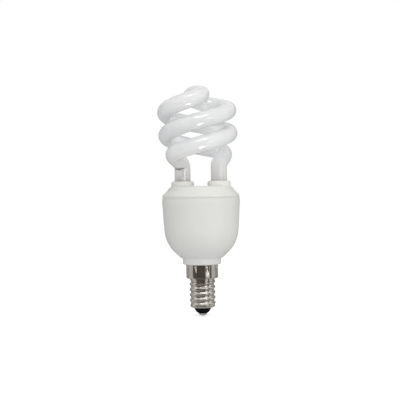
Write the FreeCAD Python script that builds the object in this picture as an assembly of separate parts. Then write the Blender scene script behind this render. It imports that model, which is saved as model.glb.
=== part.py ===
import FreeCAD, Part
import math
import os
from FreeCAD import Vector

# Spiral energy saving bulb on a small Edison screw cap.
# Millimetres. Z = 0 is the tip of the centre contact, +Z runs up the lamp's axis to the spiral,
# +X is to the right of someone who looks at the lamp from the front, and -Y is the front.

# Clearances
CLOSE_FIT = 0.05
SLIDE_FIT = 0.1
LEAD_CLEARANCE = 0.15

# Centre contact and black glass insulator
CONTACT_FLAT_RADIUS = 0.5
CONTACT_RADIUS = 2.3
CONTACT_HEIGHT = 1.25
CONTACT_SHANK_RADIUS = 1.0
CONTACT_SHANK_TOP = 6.2
INSULATOR_CONE_INSET = 0.5
INSULATOR_BULGE = 0.4
INSULATOR_CONE_TOP = 4.2
INSULATOR_FLANGE_GAP = 0.25
INSULATOR_FLANGE_TOP = 6.6
INSULATOR_FLOOR = 5.6
INSULATOR_WALL = 1.0

# Screw shell, one pressed sheet
SHELL_WALL = 0.3
SCREW_MAJOR_RADIUS = 6.92
SCREW_DEPTH = 0.77
SCREW_THREAD_RISE = 2.822
SCREW_BOTTOM = 5.2
SCREW_LENGTH = 14.6
SCREW_RING_COUNT = 8
SCREW_FIRST_ANGLE = 150.0
SCREW_RUNOUT = 1.7
MOUTH_INSET = 1.15
MOUTH_ROLL = 0.9
STEP_RISE = 0.1
SKIRT_STEP = 1.58
SKIRT_CORNER = 0.6
SKIRT_HEIGHT = 7.4
DIMPLE_COUNT = 8
DIMPLE_FIRST_ANGLE = 243.8
DIMPLE_BELOW_RIM = 1.15
DIMPLE_RADIUS = 1.0
DIMPLE_DEPTH = 0.45

# Housing, outside: its largest radius, and then its steps from the cap up
HOUSING_RADIUS = 20.4
SPIGOT_LENGTH = 6.3
SPIGOT_WALL = 1.55
NECK_STEP = 1.7
NECK_HEIGHT = 3.4
NECK_CHAMFER = 0.4
LEDGE_STEP = 1.0
CONE_SHARE = 0.341
CONE_HEIGHT = 2.8
BOWL_INSET = 0.5
BOWL_HEIGHT = 13.1
RIM_OVERHANG = 0.05
TAPER_HEIGHT = 10.5
BAND_PROUD = 0.22
BAND_EASE = 2.2
BAND_HEIGHT = 4.3
LIP_HEIGHT = 1.0
HOUSING_WALL = 1.3
BOWL_FLOOR_WALL = 1.85

# Ribs that carry the board
RIB_COUNT = 6
RIB_THICKNESS = 1.2
RIB_REACH = 1.7
RIB_HEIGHT = 12.0
RIB_FIRST_ANGLE = 18.0

# Circuit board
BOARD_GAP = 0.55
BOARD_THICKNESS = 1.2
BOARD_BELOW_SEAM = 4.1

# Cover
COVER_RIM_HEIGHT = 1.4
COVER_CONE_RISE = 3.1
COVER_STEP_HEIGHT = 0.4
COVER_DOME_WIDTH = 1.8
COVER_DOME_HEIGHT = 1.4
COVER_WALL = 1.3
SPIGOT_RING_WALL = 1.05
SNAP_HEIGHT = 0.25
SNAP_HALF_WIDTH = 0.5
SNAP_BELOW_SEAM = 1.5

# Sockets that hold the legs
SOCKET_WALL = 1.45
SOCKET_INSET = 0.6
SOCKET_HEIGHT = 2.6
SOCKET_ROUND = 1.2
SLEEVE_WALL = 1.1
SLEEVE_DEPTH = 4.7
CEMENT_THICKNESS = 0.35
CEMENT_BELOW_TOP = 0.5

# Glass tube
TUBE_RADIUS = 4.25
COIL_PROUD = 0.53
COIL_STRAND_RISE = 24.17
COIL_STRAND_ANGLE = 447.2
COIL_TOP_ANGLE = 316.6
COIL_LEAN_ANGLE = 2.0
COIL_SHIFT = 0.16
COIL_HEIGHT = 15.92
CROWN_SWEEP_ANGLE = 97.9
CROWN_POWER_RATIO = 0.863
CROWN_DROP = 1.3
CROWN_ROUNDING_ANGLE = 14.0
COIL_STEP_ANGLE = 16.0
BEND_COUNT = 6
LEG_ANGLE = 155.1
LEG_STRAIGHT = 7.53
BEND_COIL_HANDLE = 8.45
BEND_LEG_HANDLE = 3.83
TUBE_END_BELOW_SLEEVE = 0.9
TUBE_END_ROUND = 1.2

# Leads and wires
LEAD_RADIUS = 0.3
LEAD_PROUD = 0.9
DIODE_LEAD_RADIUS = 0.35
ELECTRODE_LEAD_RADIUS = 0.2
WIRE_RADIUS = 0.55
WIRE_CORE_RADIUS = 0.25
WIRE_BEND = 4.0

# Wrap pins
PIN_SIDE = 0.8
PIN_HEIGHT = 4.6
PIN_INSET = 3.4
PIN_HALF_ANGLE = 33.0
WRAP_COUNT = 3
WRAP_RISE = 0.5
WRAP_ABOVE_BOARD = 0.5

# The parts under the board, laid out and sized for this clear radius inside the ribs
LAYOUT_RADIUS = 16.9

# Choke
CHOKE_AT = (-9.0, 0.8)
CHOKE_GAP_TO_BOARD = 0.3
CORE_LENGTH = 13.0
CORE_HALF_HEIGHT = 6.5
CORE_DEPTH = 6.0
CORE_YOKE = 2.2
CORE_OUTER_LEG = 2.0
CORE_CENTRE_LEG = 3.0
BOBBIN_WALL = 0.6
BOBBIN_REACH = 6.0
BOBBIN_FLANGE = 0.8
WINDING_GAP_TO_CORE = 0.55

# Drive transformer, a ring that stands on edge
RING_AT = (3.0, 11.0)
RING_RADIUS = 3.6
RING_SECTION_RADIUS = 1.4
RING_GAP_TO_BOARD = 0.5
RING_WIRE_RADIUS = 0.25
RING_TURN_COUNT = 3
RING_WINDING_ANGLES = (25.0, 90.0, 155.0)
RING_WINDING_HALF_ANGLE = 19.0
RING_CORNER_COUNT = 8

# Smoothing capacitor, a can that hangs into the neck
CAN_OFFSET = 1.8
CAN_OFFSET_ANGLE = 33.7
CAN_GAP_TO_SPIGOT = 0.8
CAN_HEIGHT = 14.0
CAN_BOTTOM_ABOVE_SKIRT_STEP = 4.7
CAN_LEAD_REACH = 1.75
CAN_GROOVE = 0.35
CAN_GROOVE_BELOW_TOP = 1.8

# Transistors
TRANSISTOR_PLACES = ((13.0, 4.1), (9.2, 4.1))
TRANSISTOR_THICKNESS = 2.6
TRANSISTOR_WIDTH = 7.8
TRANSISTOR_HEIGHT = 10.8
TRANSISTOR_LEG_THICKNESS = 0.5
TRANSISTOR_LEG_WIDTH = 0.8
TRANSISTOR_LEG_SPACING = 2.3
TRANSISTOR_DROP = 2.0
TRANSISTOR_HOLE_RADIUS = 1.55

# Axial parts: place, body, and how far each lead reaches from the middle
DIODE_PLACES = ((1.6, -7.0), (5.0, -7.0), (8.4, -7.0), (11.8, -7.0))
DIODE_RADIUS = 1.35
DIODE_LENGTH = 5.2
DIODE_LEAD_REACH = 4.1
DIAC_PLACE = (-3.9, 14.1)
DIAC_RADIUS = 0.95
DIAC_LENGTH = 3.9
DIAC_LEAD_REACH = 2.7
RESISTOR_PLACES = ((-1.2, 3.0), (4.2, 3.0), (6.3, 3.0), (14.2, -3.2))
RESISTOR_RADIUS = 0.9
RESISTOR_LENGTH = 3.4
RESISTOR_LEAD_REACH = 2.8
FUSE_PLACE = (-13.0, -7.4)
FUSE_RADIUS = 1.4
FUSE_LENGTH = 8.5
AXIAL_DROP = 0.4

# Box capacitors: place, and size along X, Y and Z
BLOCKING_PLACE = (-6.2, -9.4)
BLOCKING_LENGTH = 10.0
BLOCKING_WIDTH = 4.4
BLOCKING_HEIGHT = 8.5
RESONANCE_PLACE = (-3.4, -13.4)
RESONANCE_LENGTH = 6.4
RESONANCE_WIDTH = 2.4
RESONANCE_HEIGHT = 6.0
STARTING_PLACE = (-8.0, 10.0)
STARTING_LENGTH = 7.0
STARTING_WIDTH = 3.0
STARTING_HEIGHT = 6.5
BOX_CAPACITOR_LEAD_INSET = 1.0
BOX_CAPACITOR_DROP = 0.8
BOX_CAPACITOR_ROUND = 0.7

# Wires from the cap to the board
WIRE_GAP_TO_SHELL = 0.3
CONTACT_WIRE_ANGLE = 216.6
CONTACT_WIRE_PLACE = (-1.4, -2.2)
SHELL_WIRE_ANGLE = 255.1
SHELL_WIRE_PLACE = (-1.4, -4.6)

# Radii that follow from the sizes above
SCREW_MINOR_RADIUS = SCREW_MAJOR_RADIUS - SCREW_DEPTH
MOUTH_RADIUS = SCREW_MINOR_RADIUS - MOUTH_INSET
INSULATOR_CONE_RADIUS = MOUTH_RADIUS - INSULATOR_CONE_INSET
INSULATOR_FLANGE_RADIUS = SCREW_MINOR_RADIUS - SHELL_WALL - INSULATOR_FLANGE_GAP
SKIRT_RADIUS = SCREW_MAJOR_RADIUS + SKIRT_STEP
SPIGOT_RADIUS = SKIRT_RADIUS - SHELL_WALL - CLOSE_FIT
SPIGOT_BORE_RADIUS = SPIGOT_RADIUS - SPIGOT_WALL
NECK_RADIUS = SKIRT_RADIUS + NECK_STEP
LEDGE_RADIUS = NECK_RADIUS + LEDGE_STEP
TAPER_RADIUS = HOUSING_RADIUS - RIM_OVERHANG
BOWL_RADIUS = TAPER_RADIUS - BOWL_INSET
CONE_RADIUS = LEDGE_RADIUS + (BOWL_RADIUS - LEDGE_RADIUS) * CONE_SHARE
HOUSING_MOUTH_RADIUS = TAPER_RADIUS - HOUSING_WALL + SLIDE_FIT
BOARD_RADIUS = HOUSING_MOUTH_RADIUS - BOARD_GAP
RIB_INNER_RADIUS = BOARD_RADIUS - RIB_REACH
PIN_CIRCLE_RADIUS = BOARD_RADIUS - PIN_INSET
COVER_CONE_RADIUS = HOUSING_RADIUS - COVER_CONE_RISE
COVER_FLAT_RADIUS = COVER_CONE_RADIUS - COVER_DOME_WIDTH
SOCKET_BORE_RADIUS = TUBE_RADIUS + CEMENT_THICKNESS + CLOSE_FIT
SOCKET_RADIUS = SOCKET_BORE_RADIUS + SOCKET_WALL
LEG_CIRCLE_RADIUS = COVER_CONE_RADIUS - SOCKET_RADIUS - SOCKET_INSET
COIL_RADIUS = HOUSING_RADIUS + COIL_PROUD - TUBE_RADIUS
CAN_RADIUS = SPIGOT_BORE_RADIUS - CAN_OFFSET - CAN_GAP_TO_SPIGOT
WIRE_CIRCLE_RADIUS = SCREW_MINOR_RADIUS - SHELL_WALL - WIRE_RADIUS - WIRE_GAP_TO_SHELL
LAYOUT_SCALE = RIB_INNER_RADIUS / LAYOUT_RADIUS

# Windings that follow from the sizes above
CORE_WINDOW = CORE_LENGTH / 2 - CORE_OUTER_LEG - CORE_CENTRE_LEG / 2
WINDING_THICKNESS = CORE_WINDOW - SLIDE_FIT - BOBBIN_WALL - CLOSE_FIT - WINDING_GAP_TO_CORE

# Heights that follow from the sizes above
SCREW_TOP = SCREW_BOTTOM + SCREW_LENGTH
SKIRT_BOTTOM = SCREW_TOP + STEP_RISE
SKIRT_TOP = SKIRT_BOTTOM + SKIRT_HEIGHT
SCREW_MEAN_RADIUS = (SCREW_MAJOR_RADIUS + SCREW_MINOR_RADIUS) / 2
SCREW_HALF_DEPTH = (SCREW_MAJOR_RADIUS - SCREW_MINOR_RADIUS) / 2
SPIGOT_BOTTOM = SKIRT_TOP - SPIGOT_LENGTH
NECK_TOP = SKIRT_TOP + NECK_HEIGHT
CONE_TOP = NECK_TOP + CONE_HEIGHT
BOWL_TOP = CONE_TOP + BOWL_HEIGHT
TAPER_TOP = BOWL_TOP + TAPER_HEIGHT
BAND_TOP = TAPER_TOP + BAND_HEIGHT
SEAM = BAND_TOP + LIP_HEIGHT
BOARD_BOTTOM = SEAM - BOARD_BELOW_SEAM
BOARD_TOP = BOARD_BOTTOM + BOARD_THICKNESS
COVER_CONE_TOP = SEAM + COVER_RIM_HEIGHT + COVER_CONE_RISE
COVER_TOP = COVER_CONE_TOP + COVER_STEP_HEIGHT + COVER_DOME_HEIGHT
SOCKET_TOP = COVER_TOP + SOCKET_HEIGHT
SLEEVE_BOTTOM = COVER_TOP - SLEEVE_DEPTH
TUBE_END = SLEEVE_BOTTOM - TUBE_END_BELOW_SLEEVE
LEG_TOP = SOCKET_TOP + LEG_STRAIGHT
CAN_BOTTOM = SKIRT_BOTTOM + CAN_BOTTOM_ABOVE_SKIRT_STEP
CAN_TOP = CAN_BOTTOM + CAN_HEIGHT

QUARTER_TURN = 90
AXIS = Vector(0, 0, 1)
ORIGIN = Vector(0, 0, 0)


def revolved(edges):
    """A solid of revolution about the Z axis from a closed outline in the XZ plane."""
    return Part.Face(Part.Wire(edges)).revolve(ORIGIN, AXIS, 360)


def outline(points):
    """Straight edges through (radius, height) points, closed."""
    corners = [Vector(r, 0, z) for r, z in points]
    return Part.makePolygon(corners + corners[:1]).Edges


def line(start, end):
    return Part.LineSegment(Vector(start[0], 0, start[1]), Vector(end[0], 0, end[1])).toShape()


def tangent_arc(start, direction, end):
    """An arc from start to end in the XZ plane that leaves start along direction."""
    chord = (end[0] - start[0], end[1] - start[1])
    turn = math.atan2(chord[1], chord[0]) - math.atan2(direction[1], direction[0])
    rise = math.tan(turn / 2) / 2
    middle = (start[0] + chord[0] / 2 + chord[1] * rise, start[1] + chord[1] / 2 - chord[0] * rise)
    points = [Vector(r, 0, z) for r, z in (start, middle, end)]
    return Part.Arc(*points).toShape()


def bulged_arc(start, end, bulge):
    """An arc from start to end in the XZ plane, whose middle stands out to the right of the chord."""
    chord = Vector(end[0] - start[0], 0, end[1] - start[1])
    outward = Vector(chord.z, 0, -chord.x).normalize()
    ends = [Vector(start[0], 0, start[1]), Vector(end[0], 0, end[1])]
    middle = (ends[0] + ends[1]) * 0.5 + outward * bulge
    return Part.Arc(ends[0], middle, ends[1]).toShape()


def cylinder(x, y, bottom, top, radius):
    return Part.makeCylinder(radius, top - bottom, Vector(x, y, bottom))


def block(centre_x, centre_y, bottom, size):
    corner = Vector(centre_x - size[0] / 2, centre_y - size[1] / 2, bottom)
    return Part.makeBox(size[0], size[1], size[2], corner)


def on_circle(radius, angle, z=0.0):
    turn = math.radians(angle)
    return Vector(radius * math.cos(turn), radius * math.sin(turn), z)


def union(shapes):
    shapes = list(shapes)
    return shapes[0].multiFuse(shapes[1:]).removeSplitter()


def swept_tube(edges, radius):
    """A round bar of one radius along a chain of edges that run on smoothly."""
    spine = Part.Wire(edges)
    first = edges[0]
    start = first.valueAt(first.FirstParameter)
    section = Part.makeCircle(radius, start, first.tangentAt(first.FirstParameter))
    return Part.Solid(spine.makePipeShell([Part.Wire([section])], True, False))


def rounded_route(points, bend):
    """Straight runs through the points, joined by tangent arcs of the bend radius."""
    edges = []
    here = points[0]
    for before, corner, after in zip(points, points[1:], points[2:]):
        inward = (before - corner).normalize()
        onward = (after - corner).normalize()
        half_turn = (math.pi - inward.getAngle(onward)) / 2
        reach = min((before - corner).Length, (after - corner).Length) * 0.45
        radius = min(bend, reach / math.tan(half_turn))
        cut = radius * math.tan(half_turn)
        start = corner + inward * cut
        end = corner + onward * cut
        sagitta = radius / math.cos(half_turn) - radius
        middle = corner + (inward + onward).normalize() * sagitta
        edges.append(Part.LineSegment(here, start).toShape())
        edges.append(Part.Arc(start, middle, end).toShape())
        here = end
    edges.append(Part.LineSegment(here, points[-1]).toShape())
    return edges


# Cap

def screw_column(wall_inset):
    """The thread as a stack of level circles whose centres walk round a small helix."""
    radius = SCREW_MEAN_RADIUS - wall_inset
    count = round(SCREW_LENGTH / SCREW_THREAD_RISE * SCREW_RING_COUNT)
    rings = []
    for i in range(count + 1):
        height = SCREW_LENGTH * i / count
        from_end = min(height, SCREW_LENGTH - height) / SCREW_RUNOUT
        depth = SCREW_HALF_DEPTH * math.sin(math.pi / 2 * min(from_end, 1)) ** 2
        around = SCREW_FIRST_ANGLE + 360 * height / SCREW_THREAD_RISE
        centre = on_circle(depth, around, SCREW_BOTTOM + height)
        rings.append(Part.Wire([Part.makeCircle(radius, centre)]))
    return Part.makeLoft(rings, True, False)


def mouth_arc(radius, mouth_z):
    """The rolled-in lower end: a quarter turn from the mouth out to the thread."""
    across = radius - MOUTH_RADIUS
    down = SCREW_BOTTOM - mouth_z
    slope = math.sqrt(0.5)
    middle = Vector(MOUTH_RADIUS + across * slope, 0, SCREW_BOTTOM - down * slope)
    return Part.Arc(Vector(MOUTH_RADIUS, 0, mouth_z), middle, Vector(radius, 0, SCREW_BOTTOM)).toShape()


def shell_mouth():
    outer_z = SCREW_BOTTOM - MOUTH_ROLL
    inner_z = outer_z + SHELL_WALL
    outer_radius = SCREW_MEAN_RADIUS
    inner_radius = outer_radius - SHELL_WALL
    return revolved([
        mouth_arc(outer_radius, outer_z),
        line((outer_radius, SCREW_BOTTOM), (inner_radius, SCREW_BOTTOM)),
        mouth_arc(inner_radius, inner_z),
        line((MOUTH_RADIUS, inner_z), (MOUTH_RADIUS, outer_z)),
    ])


def shell_skirt():
    outer = SCREW_MEAN_RADIUS
    inner = outer - SHELL_WALL
    plate_end = SKIRT_RADIUS - SKIRT_CORNER
    corner_z = SKIRT_BOTTOM + SKIRT_CORNER
    plate_top = SKIRT_BOTTOM + SHELL_WALL
    skirt_inner = SKIRT_RADIUS - SHELL_WALL
    return revolved([
        line((inner, SCREW_TOP), (outer, SCREW_TOP)),
        line((outer, SCREW_TOP), (outer, SKIRT_BOTTOM)),
        line((outer, SKIRT_BOTTOM), (plate_end, SKIRT_BOTTOM)),
        tangent_arc((plate_end, SKIRT_BOTTOM), (1, 0), (SKIRT_RADIUS, corner_z)),
        line((SKIRT_RADIUS, corner_z), (SKIRT_RADIUS, SKIRT_TOP)),
        line((SKIRT_RADIUS, SKIRT_TOP), (skirt_inner, SKIRT_TOP)),
        line((skirt_inner, SKIRT_TOP), (skirt_inner, corner_z)),
        tangent_arc((skirt_inner, corner_z), (0, -1), (plate_end, plate_top)),
        line((plate_end, plate_top), (inner, plate_top)),
        line((inner, plate_top), (inner, SCREW_TOP)),
    ])


def dimple_balls(radius):
    """Balls on the dimples' centres, which lie outside the skirt."""
    centre_radius = SKIRT_RADIUS + DIMPLE_RADIUS - DIMPLE_DEPTH
    balls = []
    for i in range(DIMPLE_COUNT):
        angle = DIMPLE_FIRST_ANGLE + 360 * i / DIMPLE_COUNT
        centre = on_circle(centre_radius, angle, SKIRT_TOP - DIMPLE_BELOW_RIM)
        balls.append(Part.makeSphere(radius, centre))
    return balls


def make_screw_shell():
    screw = screw_column(0).cut(screw_column(SHELL_WALL))
    skirt_body = cylinder(0, 0, SKIRT_BOTTOM, SKIRT_TOP, SKIRT_RADIUS - SHELL_WALL / 2)
    bulges = [ball.common(skirt_body) for ball in dimple_balls(DIMPLE_RADIUS + SHELL_WALL)]
    skirt = shell_skirt().multiFuse(bulges).cut(Part.makeCompound(dimple_balls(DIMPLE_RADIUS)))
    return union([screw, shell_mouth(), skirt])


def make_base_insulator():
    neck = MOUTH_RADIUS - CLOSE_FIT
    neck_top = SCREW_BOTTOM - MOUTH_ROLL + SHELL_WALL + CLOSE_FIT
    bore = CONTACT_SHANK_RADIUS + CLOSE_FIT
    slope_top = neck_top + (INSULATOR_FLANGE_RADIUS - neck) / 2
    cone_start = (CONTACT_RADIUS, CONTACT_HEIGHT)
    cone_end = (INSULATOR_CONE_RADIUS, INSULATOR_CONE_TOP)
    edges = outline([
        cone_start,
        cone_end,
        (neck, INSULATOR_CONE_TOP),
        (neck, neck_top),
        (INSULATOR_FLANGE_RADIUS, slope_top),
        (INSULATOR_FLANGE_RADIUS, INSULATOR_FLANGE_TOP),
        (INSULATOR_FLANGE_RADIUS - INSULATOR_WALL, INSULATOR_FLANGE_TOP),
        (INSULATOR_FLANGE_RADIUS - INSULATOR_WALL, INSULATOR_FLOOR),
        (bore, INSULATOR_FLOOR),
        (bore, CONTACT_HEIGHT),
    ])
    return revolved([bulged_arc(cone_start, cone_end, INSULATOR_BULGE)] + edges[1:])


def make_centre_contact():
    contact = revolved([
        line((0, 0), (CONTACT_FLAT_RADIUS, 0)),
        tangent_arc((CONTACT_FLAT_RADIUS, 0), (1, 0), (CONTACT_RADIUS, CONTACT_HEIGHT)),
        line((CONTACT_RADIUS, CONTACT_HEIGHT), (CONTACT_SHANK_RADIUS, CONTACT_HEIGHT)),
        line((CONTACT_SHANK_RADIUS, CONTACT_HEIGHT), (CONTACT_SHANK_RADIUS, CONTACT_SHANK_TOP)),
        line((CONTACT_SHANK_RADIUS, CONTACT_SHANK_TOP), (0, CONTACT_SHANK_TOP)),
        line((0, CONTACT_SHANK_TOP), (0, 0)),
    ])
    return contact.cut(cylinder(0, 0, CONTACT_HEIGHT, CONTACT_SHANK_TOP, WIRE_CORE_RADIUS + CLOSE_FIT))


# Housing

def housing_body():
    cone_direction = (CONE_RADIUS - LEDGE_RADIUS, CONE_HEIGHT)
    cone_length = math.hypot(*cone_direction)
    inward = (-cone_direction[1] / cone_length, cone_direction[0] / cone_length)
    inner_cone_end = (CONE_RADIUS + inward[0] * BOWL_FLOOR_WALL, CONE_TOP + inward[1] * BOWL_FLOOR_WALL)
    bore_rise = (inner_cone_end[0] - SPIGOT_BORE_RADIUS) * cone_direction[1] / cone_direction[0]
    inner_cone_start = (SPIGOT_BORE_RADIUS, inner_cone_end[1] - bore_rise)
    inner_bowl_end = (BOWL_RADIUS - HOUSING_WALL, BOWL_TOP)
    band_radius = TAPER_RADIUS + BAND_PROUD
    lip_radius = TAPER_RADIUS + BAND_PROUD / 2
    snap = SEAM - SNAP_BELOW_SEAM
    groove = HOUSING_MOUTH_RADIUS + SNAP_HEIGHT
    half_groove = SNAP_HALF_WIDTH + SLIDE_FIT
    return revolved([
        line((SPIGOT_BORE_RADIUS, SPIGOT_BOTTOM), (SPIGOT_RADIUS, SPIGOT_BOTTOM)),
        line((SPIGOT_RADIUS, SPIGOT_BOTTOM), (SPIGOT_RADIUS, SKIRT_TOP)),
        line((SPIGOT_RADIUS, SKIRT_TOP), (NECK_RADIUS - NECK_CHAMFER, SKIRT_TOP)),
        line((NECK_RADIUS - NECK_CHAMFER, SKIRT_TOP), (NECK_RADIUS, SKIRT_TOP + NECK_CHAMFER)),
        line((NECK_RADIUS, SKIRT_TOP + NECK_CHAMFER), (NECK_RADIUS, NECK_TOP)),
        line((NECK_RADIUS, NECK_TOP), (LEDGE_RADIUS, NECK_TOP)),
        line((LEDGE_RADIUS, NECK_TOP), (CONE_RADIUS, CONE_TOP)),
        tangent_arc((CONE_RADIUS, CONE_TOP), cone_direction, (BOWL_RADIUS, BOWL_TOP)),
        line((BOWL_RADIUS, BOWL_TOP), (TAPER_RADIUS, TAPER_TOP)),
        line((TAPER_RADIUS, TAPER_TOP), (band_radius, TAPER_TOP + BAND_EASE)),
        line((band_radius, TAPER_TOP + BAND_EASE), (band_radius, BAND_TOP)),
        line((band_radius, BAND_TOP), (lip_radius, BAND_TOP + BAND_PROUD)),
        line((lip_radius, BAND_TOP + BAND_PROUD), (lip_radius, SEAM)),
        line((lip_radius, SEAM), (HOUSING_MOUTH_RADIUS, SEAM)),
        line((HOUSING_MOUTH_RADIUS, SEAM), (HOUSING_MOUTH_RADIUS, snap + half_groove)),
        line((HOUSING_MOUTH_RADIUS, snap + half_groove), (groove, snap)),
        line((groove, snap), (HOUSING_MOUTH_RADIUS, snap - half_groove)),
        line((HOUSING_MOUTH_RADIUS, snap - half_groove), (HOUSING_MOUTH_RADIUS, BOARD_BOTTOM)),
        line((HOUSING_MOUTH_RADIUS, BOARD_BOTTOM), (TAPER_RADIUS - HOUSING_WALL, TAPER_TOP)),
        line((TAPER_RADIUS - HOUSING_WALL, TAPER_TOP), inner_bowl_end),
        tangent_arc(inner_bowl_end, (0, -1), inner_cone_end),
        line(inner_cone_end, inner_cone_start),
        line(inner_cone_start, (SPIGOT_BORE_RADIUS, SPIGOT_BOTTOM)),
    ])


def housing_ribs():
    """Upright ribs on the wall whose flat tops carry the board."""
    wall_middle = BOWL_RADIUS - HOUSING_WALL / 2
    length = wall_middle - RIB_INNER_RADIUS
    ribs = []
    for i in range(RIB_COUNT):
        rib = Part.makeBox(
            length, RIB_THICKNESS, RIB_HEIGHT,
            Vector(RIB_INNER_RADIUS, -RIB_THICKNESS / 2, BOARD_BOTTOM - RIB_HEIGHT))
        rib.rotate(ORIGIN, AXIS, RIB_FIRST_ANGLE + 360 * i / RIB_COUNT)
        ribs.append(rib)
    return ribs


def make_housing():
    recesses = Part.makeCompound(dimple_balls(DIMPLE_RADIUS + SHELL_WALL + CLOSE_FIT))
    skirt_room = cylinder(0, 0, SPIGOT_BOTTOM, SKIRT_TOP, NECK_RADIUS)
    body = housing_body().cut(recesses.common(skirt_room))
    return union([body] + housing_ribs())


# Cover and cement

def leg_places():
    """Centres of the right and left leg."""
    return [on_circle(LEG_CIRCLE_RADIUS, LEG_ANGLE + 180), on_circle(LEG_CIRCLE_RADIUS, LEG_ANGLE)]


def cover_plate():
    wall_drop = COVER_WALL * (math.sqrt(2) - 1)
    ring_outer = HOUSING_MOUTH_RADIUS - SLIDE_FIT
    ring_inner = ring_outer - SPIGOT_RING_WALL
    rim_top = SEAM + COVER_RIM_HEIGHT
    ceiling = COVER_TOP - COVER_WALL
    cone_sum = HOUSING_RADIUS - COVER_WALL + rim_top - wall_drop
    snap = SEAM - SNAP_BELOW_SEAM
    bead = ring_outer + SNAP_HEIGHT - CLOSE_FIT
    return revolved(outline([
        (0, COVER_TOP),
        (COVER_FLAT_RADIUS, COVER_TOP),
        (COVER_CONE_RADIUS, COVER_TOP - COVER_DOME_HEIGHT),
        (COVER_CONE_RADIUS, COVER_CONE_TOP),
        (HOUSING_RADIUS, rim_top),
        (HOUSING_RADIUS, SEAM),
        (ring_outer, SEAM),
        (ring_outer, snap + SNAP_HALF_WIDTH),
        (bead, snap),
        (ring_outer, snap - SNAP_HALF_WIDTH),
        (ring_outer, BOARD_TOP),
        (ring_inner, BOARD_TOP),
        (ring_inner, cone_sum - ring_inner),
        (cone_sum - ceiling, ceiling),
        (0, ceiling),
    ]))


def socket(place):
    """A raised socket with a rounded shoulder and a sleeve below the plate."""
    boss_bottom = COVER_TOP - COVER_WALL
    boss = cylinder(place.x, place.y, boss_bottom, SOCKET_TOP, SOCKET_RADIUS)
    top_edges = [edge for edge in boss.Edges if edge.CenterOfMass.z > SOCKET_TOP - CLOSE_FIT]
    top_edges = [edge for edge in top_edges if edge.BoundBox.ZLength < CLOSE_FIT]
    boss = boss.makeFillet(SOCKET_ROUND, top_edges)
    sleeve = cylinder(place.x, place.y, SLEEVE_BOTTOM, boss_bottom, SOCKET_BORE_RADIUS + SLEEVE_WALL)
    return boss.fuse(sleeve)


def make_tube_cover():
    places = leg_places()
    cover = union([cover_plate()] + [socket(place) for place in places])
    bores = [cylinder(p.x, p.y, SLEEVE_BOTTOM, SOCKET_TOP, SOCKET_BORE_RADIUS) for p in places]
    return cover.cut(Part.makeCompound(bores))


def make_cement(place):
    top = SOCKET_TOP - CEMENT_BELOW_TOP
    outer = cylinder(place.x, place.y, SLEEVE_BOTTOM, top, TUBE_RADIUS + CEMENT_THICKNESS)
    return outer.cut(cylinder(place.x, place.y, SLEEVE_BOTTOM, top, TUBE_RADIUS + CLOSE_FIT / 2))


# Glass tube

def helix_point(side, turned):
    """A point of the coil's centreline, turned degrees down from the crown on one of its two sides."""
    angle = COIL_TOP_ANGLE - turned + (0 if side > 0 else 180)
    crown_share = min(turned / CROWN_SWEEP_ANGLE, 1)
    radius = COIL_RADIUS * math.sin(math.pi / 2 * crown_share) ** CROWN_POWER_RATIO
    drop_share = (1 - math.cos(math.pi * crown_share)) / 2
    climb = coil_climb(COIL_STRAND_ANGLE) - coil_climb(turned)
    height = COIL_HEIGHT + climb + CROWN_DROP * (1 - drop_share)
    return leaned(on_circle(radius, angle, height))


def coil_climb(turned):
    """How far the helix falls over an angle, with a rounded start at the crown."""
    rounded = math.hypot(turned, CROWN_ROUNDING_ANGLE) - CROWN_ROUNDING_ANGLE
    return COIL_STRAND_RISE * rounded / 360


def leaned(point):
    """The coil's axis leans a little to the left of the housing's, from the sockets up."""
    lean = math.radians(COIL_LEAN_ANGLE)
    x = point.x * math.cos(lean) - point.z * math.sin(lean) - COIL_SHIFT
    z = point.x * math.sin(lean) + point.z * math.cos(lean)
    return Vector(x, point.y, z + SOCKET_TOP)


def bend_points(coil_end, direction, place):
    """Points down the bend from the coil's lower end into the straight leg."""
    leg_top = Vector(place.x, place.y, LEG_TOP)
    bend = Part.BezierCurve()
    bend.setPoles([
        coil_end,
        coil_end + direction * BEND_COIL_HANDLE,
        leg_top + AXIS * BEND_LEG_HANDLE,
        leg_top,
    ])
    return [bend.value(i / BEND_COUNT) for i in range(1, BEND_COUNT + 1)]


def half_centreline(side, place):
    """Centreline points of one half, from the crown down to the top of its straight leg."""
    count = math.ceil(COIL_STRAND_ANGLE / COIL_STEP_ANGLE)
    points = [helix_point(side, COIL_STRAND_ANGLE * i / count) for i in range(count + 1)]
    direction = (points[-1] - helix_point(side, COIL_STRAND_ANGLE - 0.5)).normalize()
    return points + bend_points(points[-1], direction, place)


def make_spiral_tube():
    """Both halves in one sweep, from the end of the right leg over the crown to the left leg's end."""
    right, left = leg_places()
    right_half = half_centreline(-1, right)
    left_half = half_centreline(1, left)
    right_end = Vector(right.x, right.y, TUBE_END)
    left_end = Vector(left.x, left.y, TUBE_END)
    route = [right_end] + right_half[:0:-1] + left_half + [left_end]
    tube = swept_tube(rounded_route(route, 2 * COIL_RADIUS), TUBE_RADIUS)
    ends = [edge for edge in tube.Edges if edge.BoundBox.ZMax < TUBE_END + CLOSE_FIT]
    return tube.makeFillet(TUBE_END_ROUND, ends)


# Circuit board and what it carries

BOARD_CUTS = []


def fitted(shape):
    """A part of the layout, scaled about the board's middle to the room inside the ribs."""
    return shape.scaled(LAYOUT_SCALE, Vector(0, 0, BOARD_BOTTOM))


def laid(place):
    """A place of the layout, brought to the room inside the ribs."""
    return place[0] * LAYOUT_SCALE, place[1] * LAYOUT_SCALE


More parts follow.
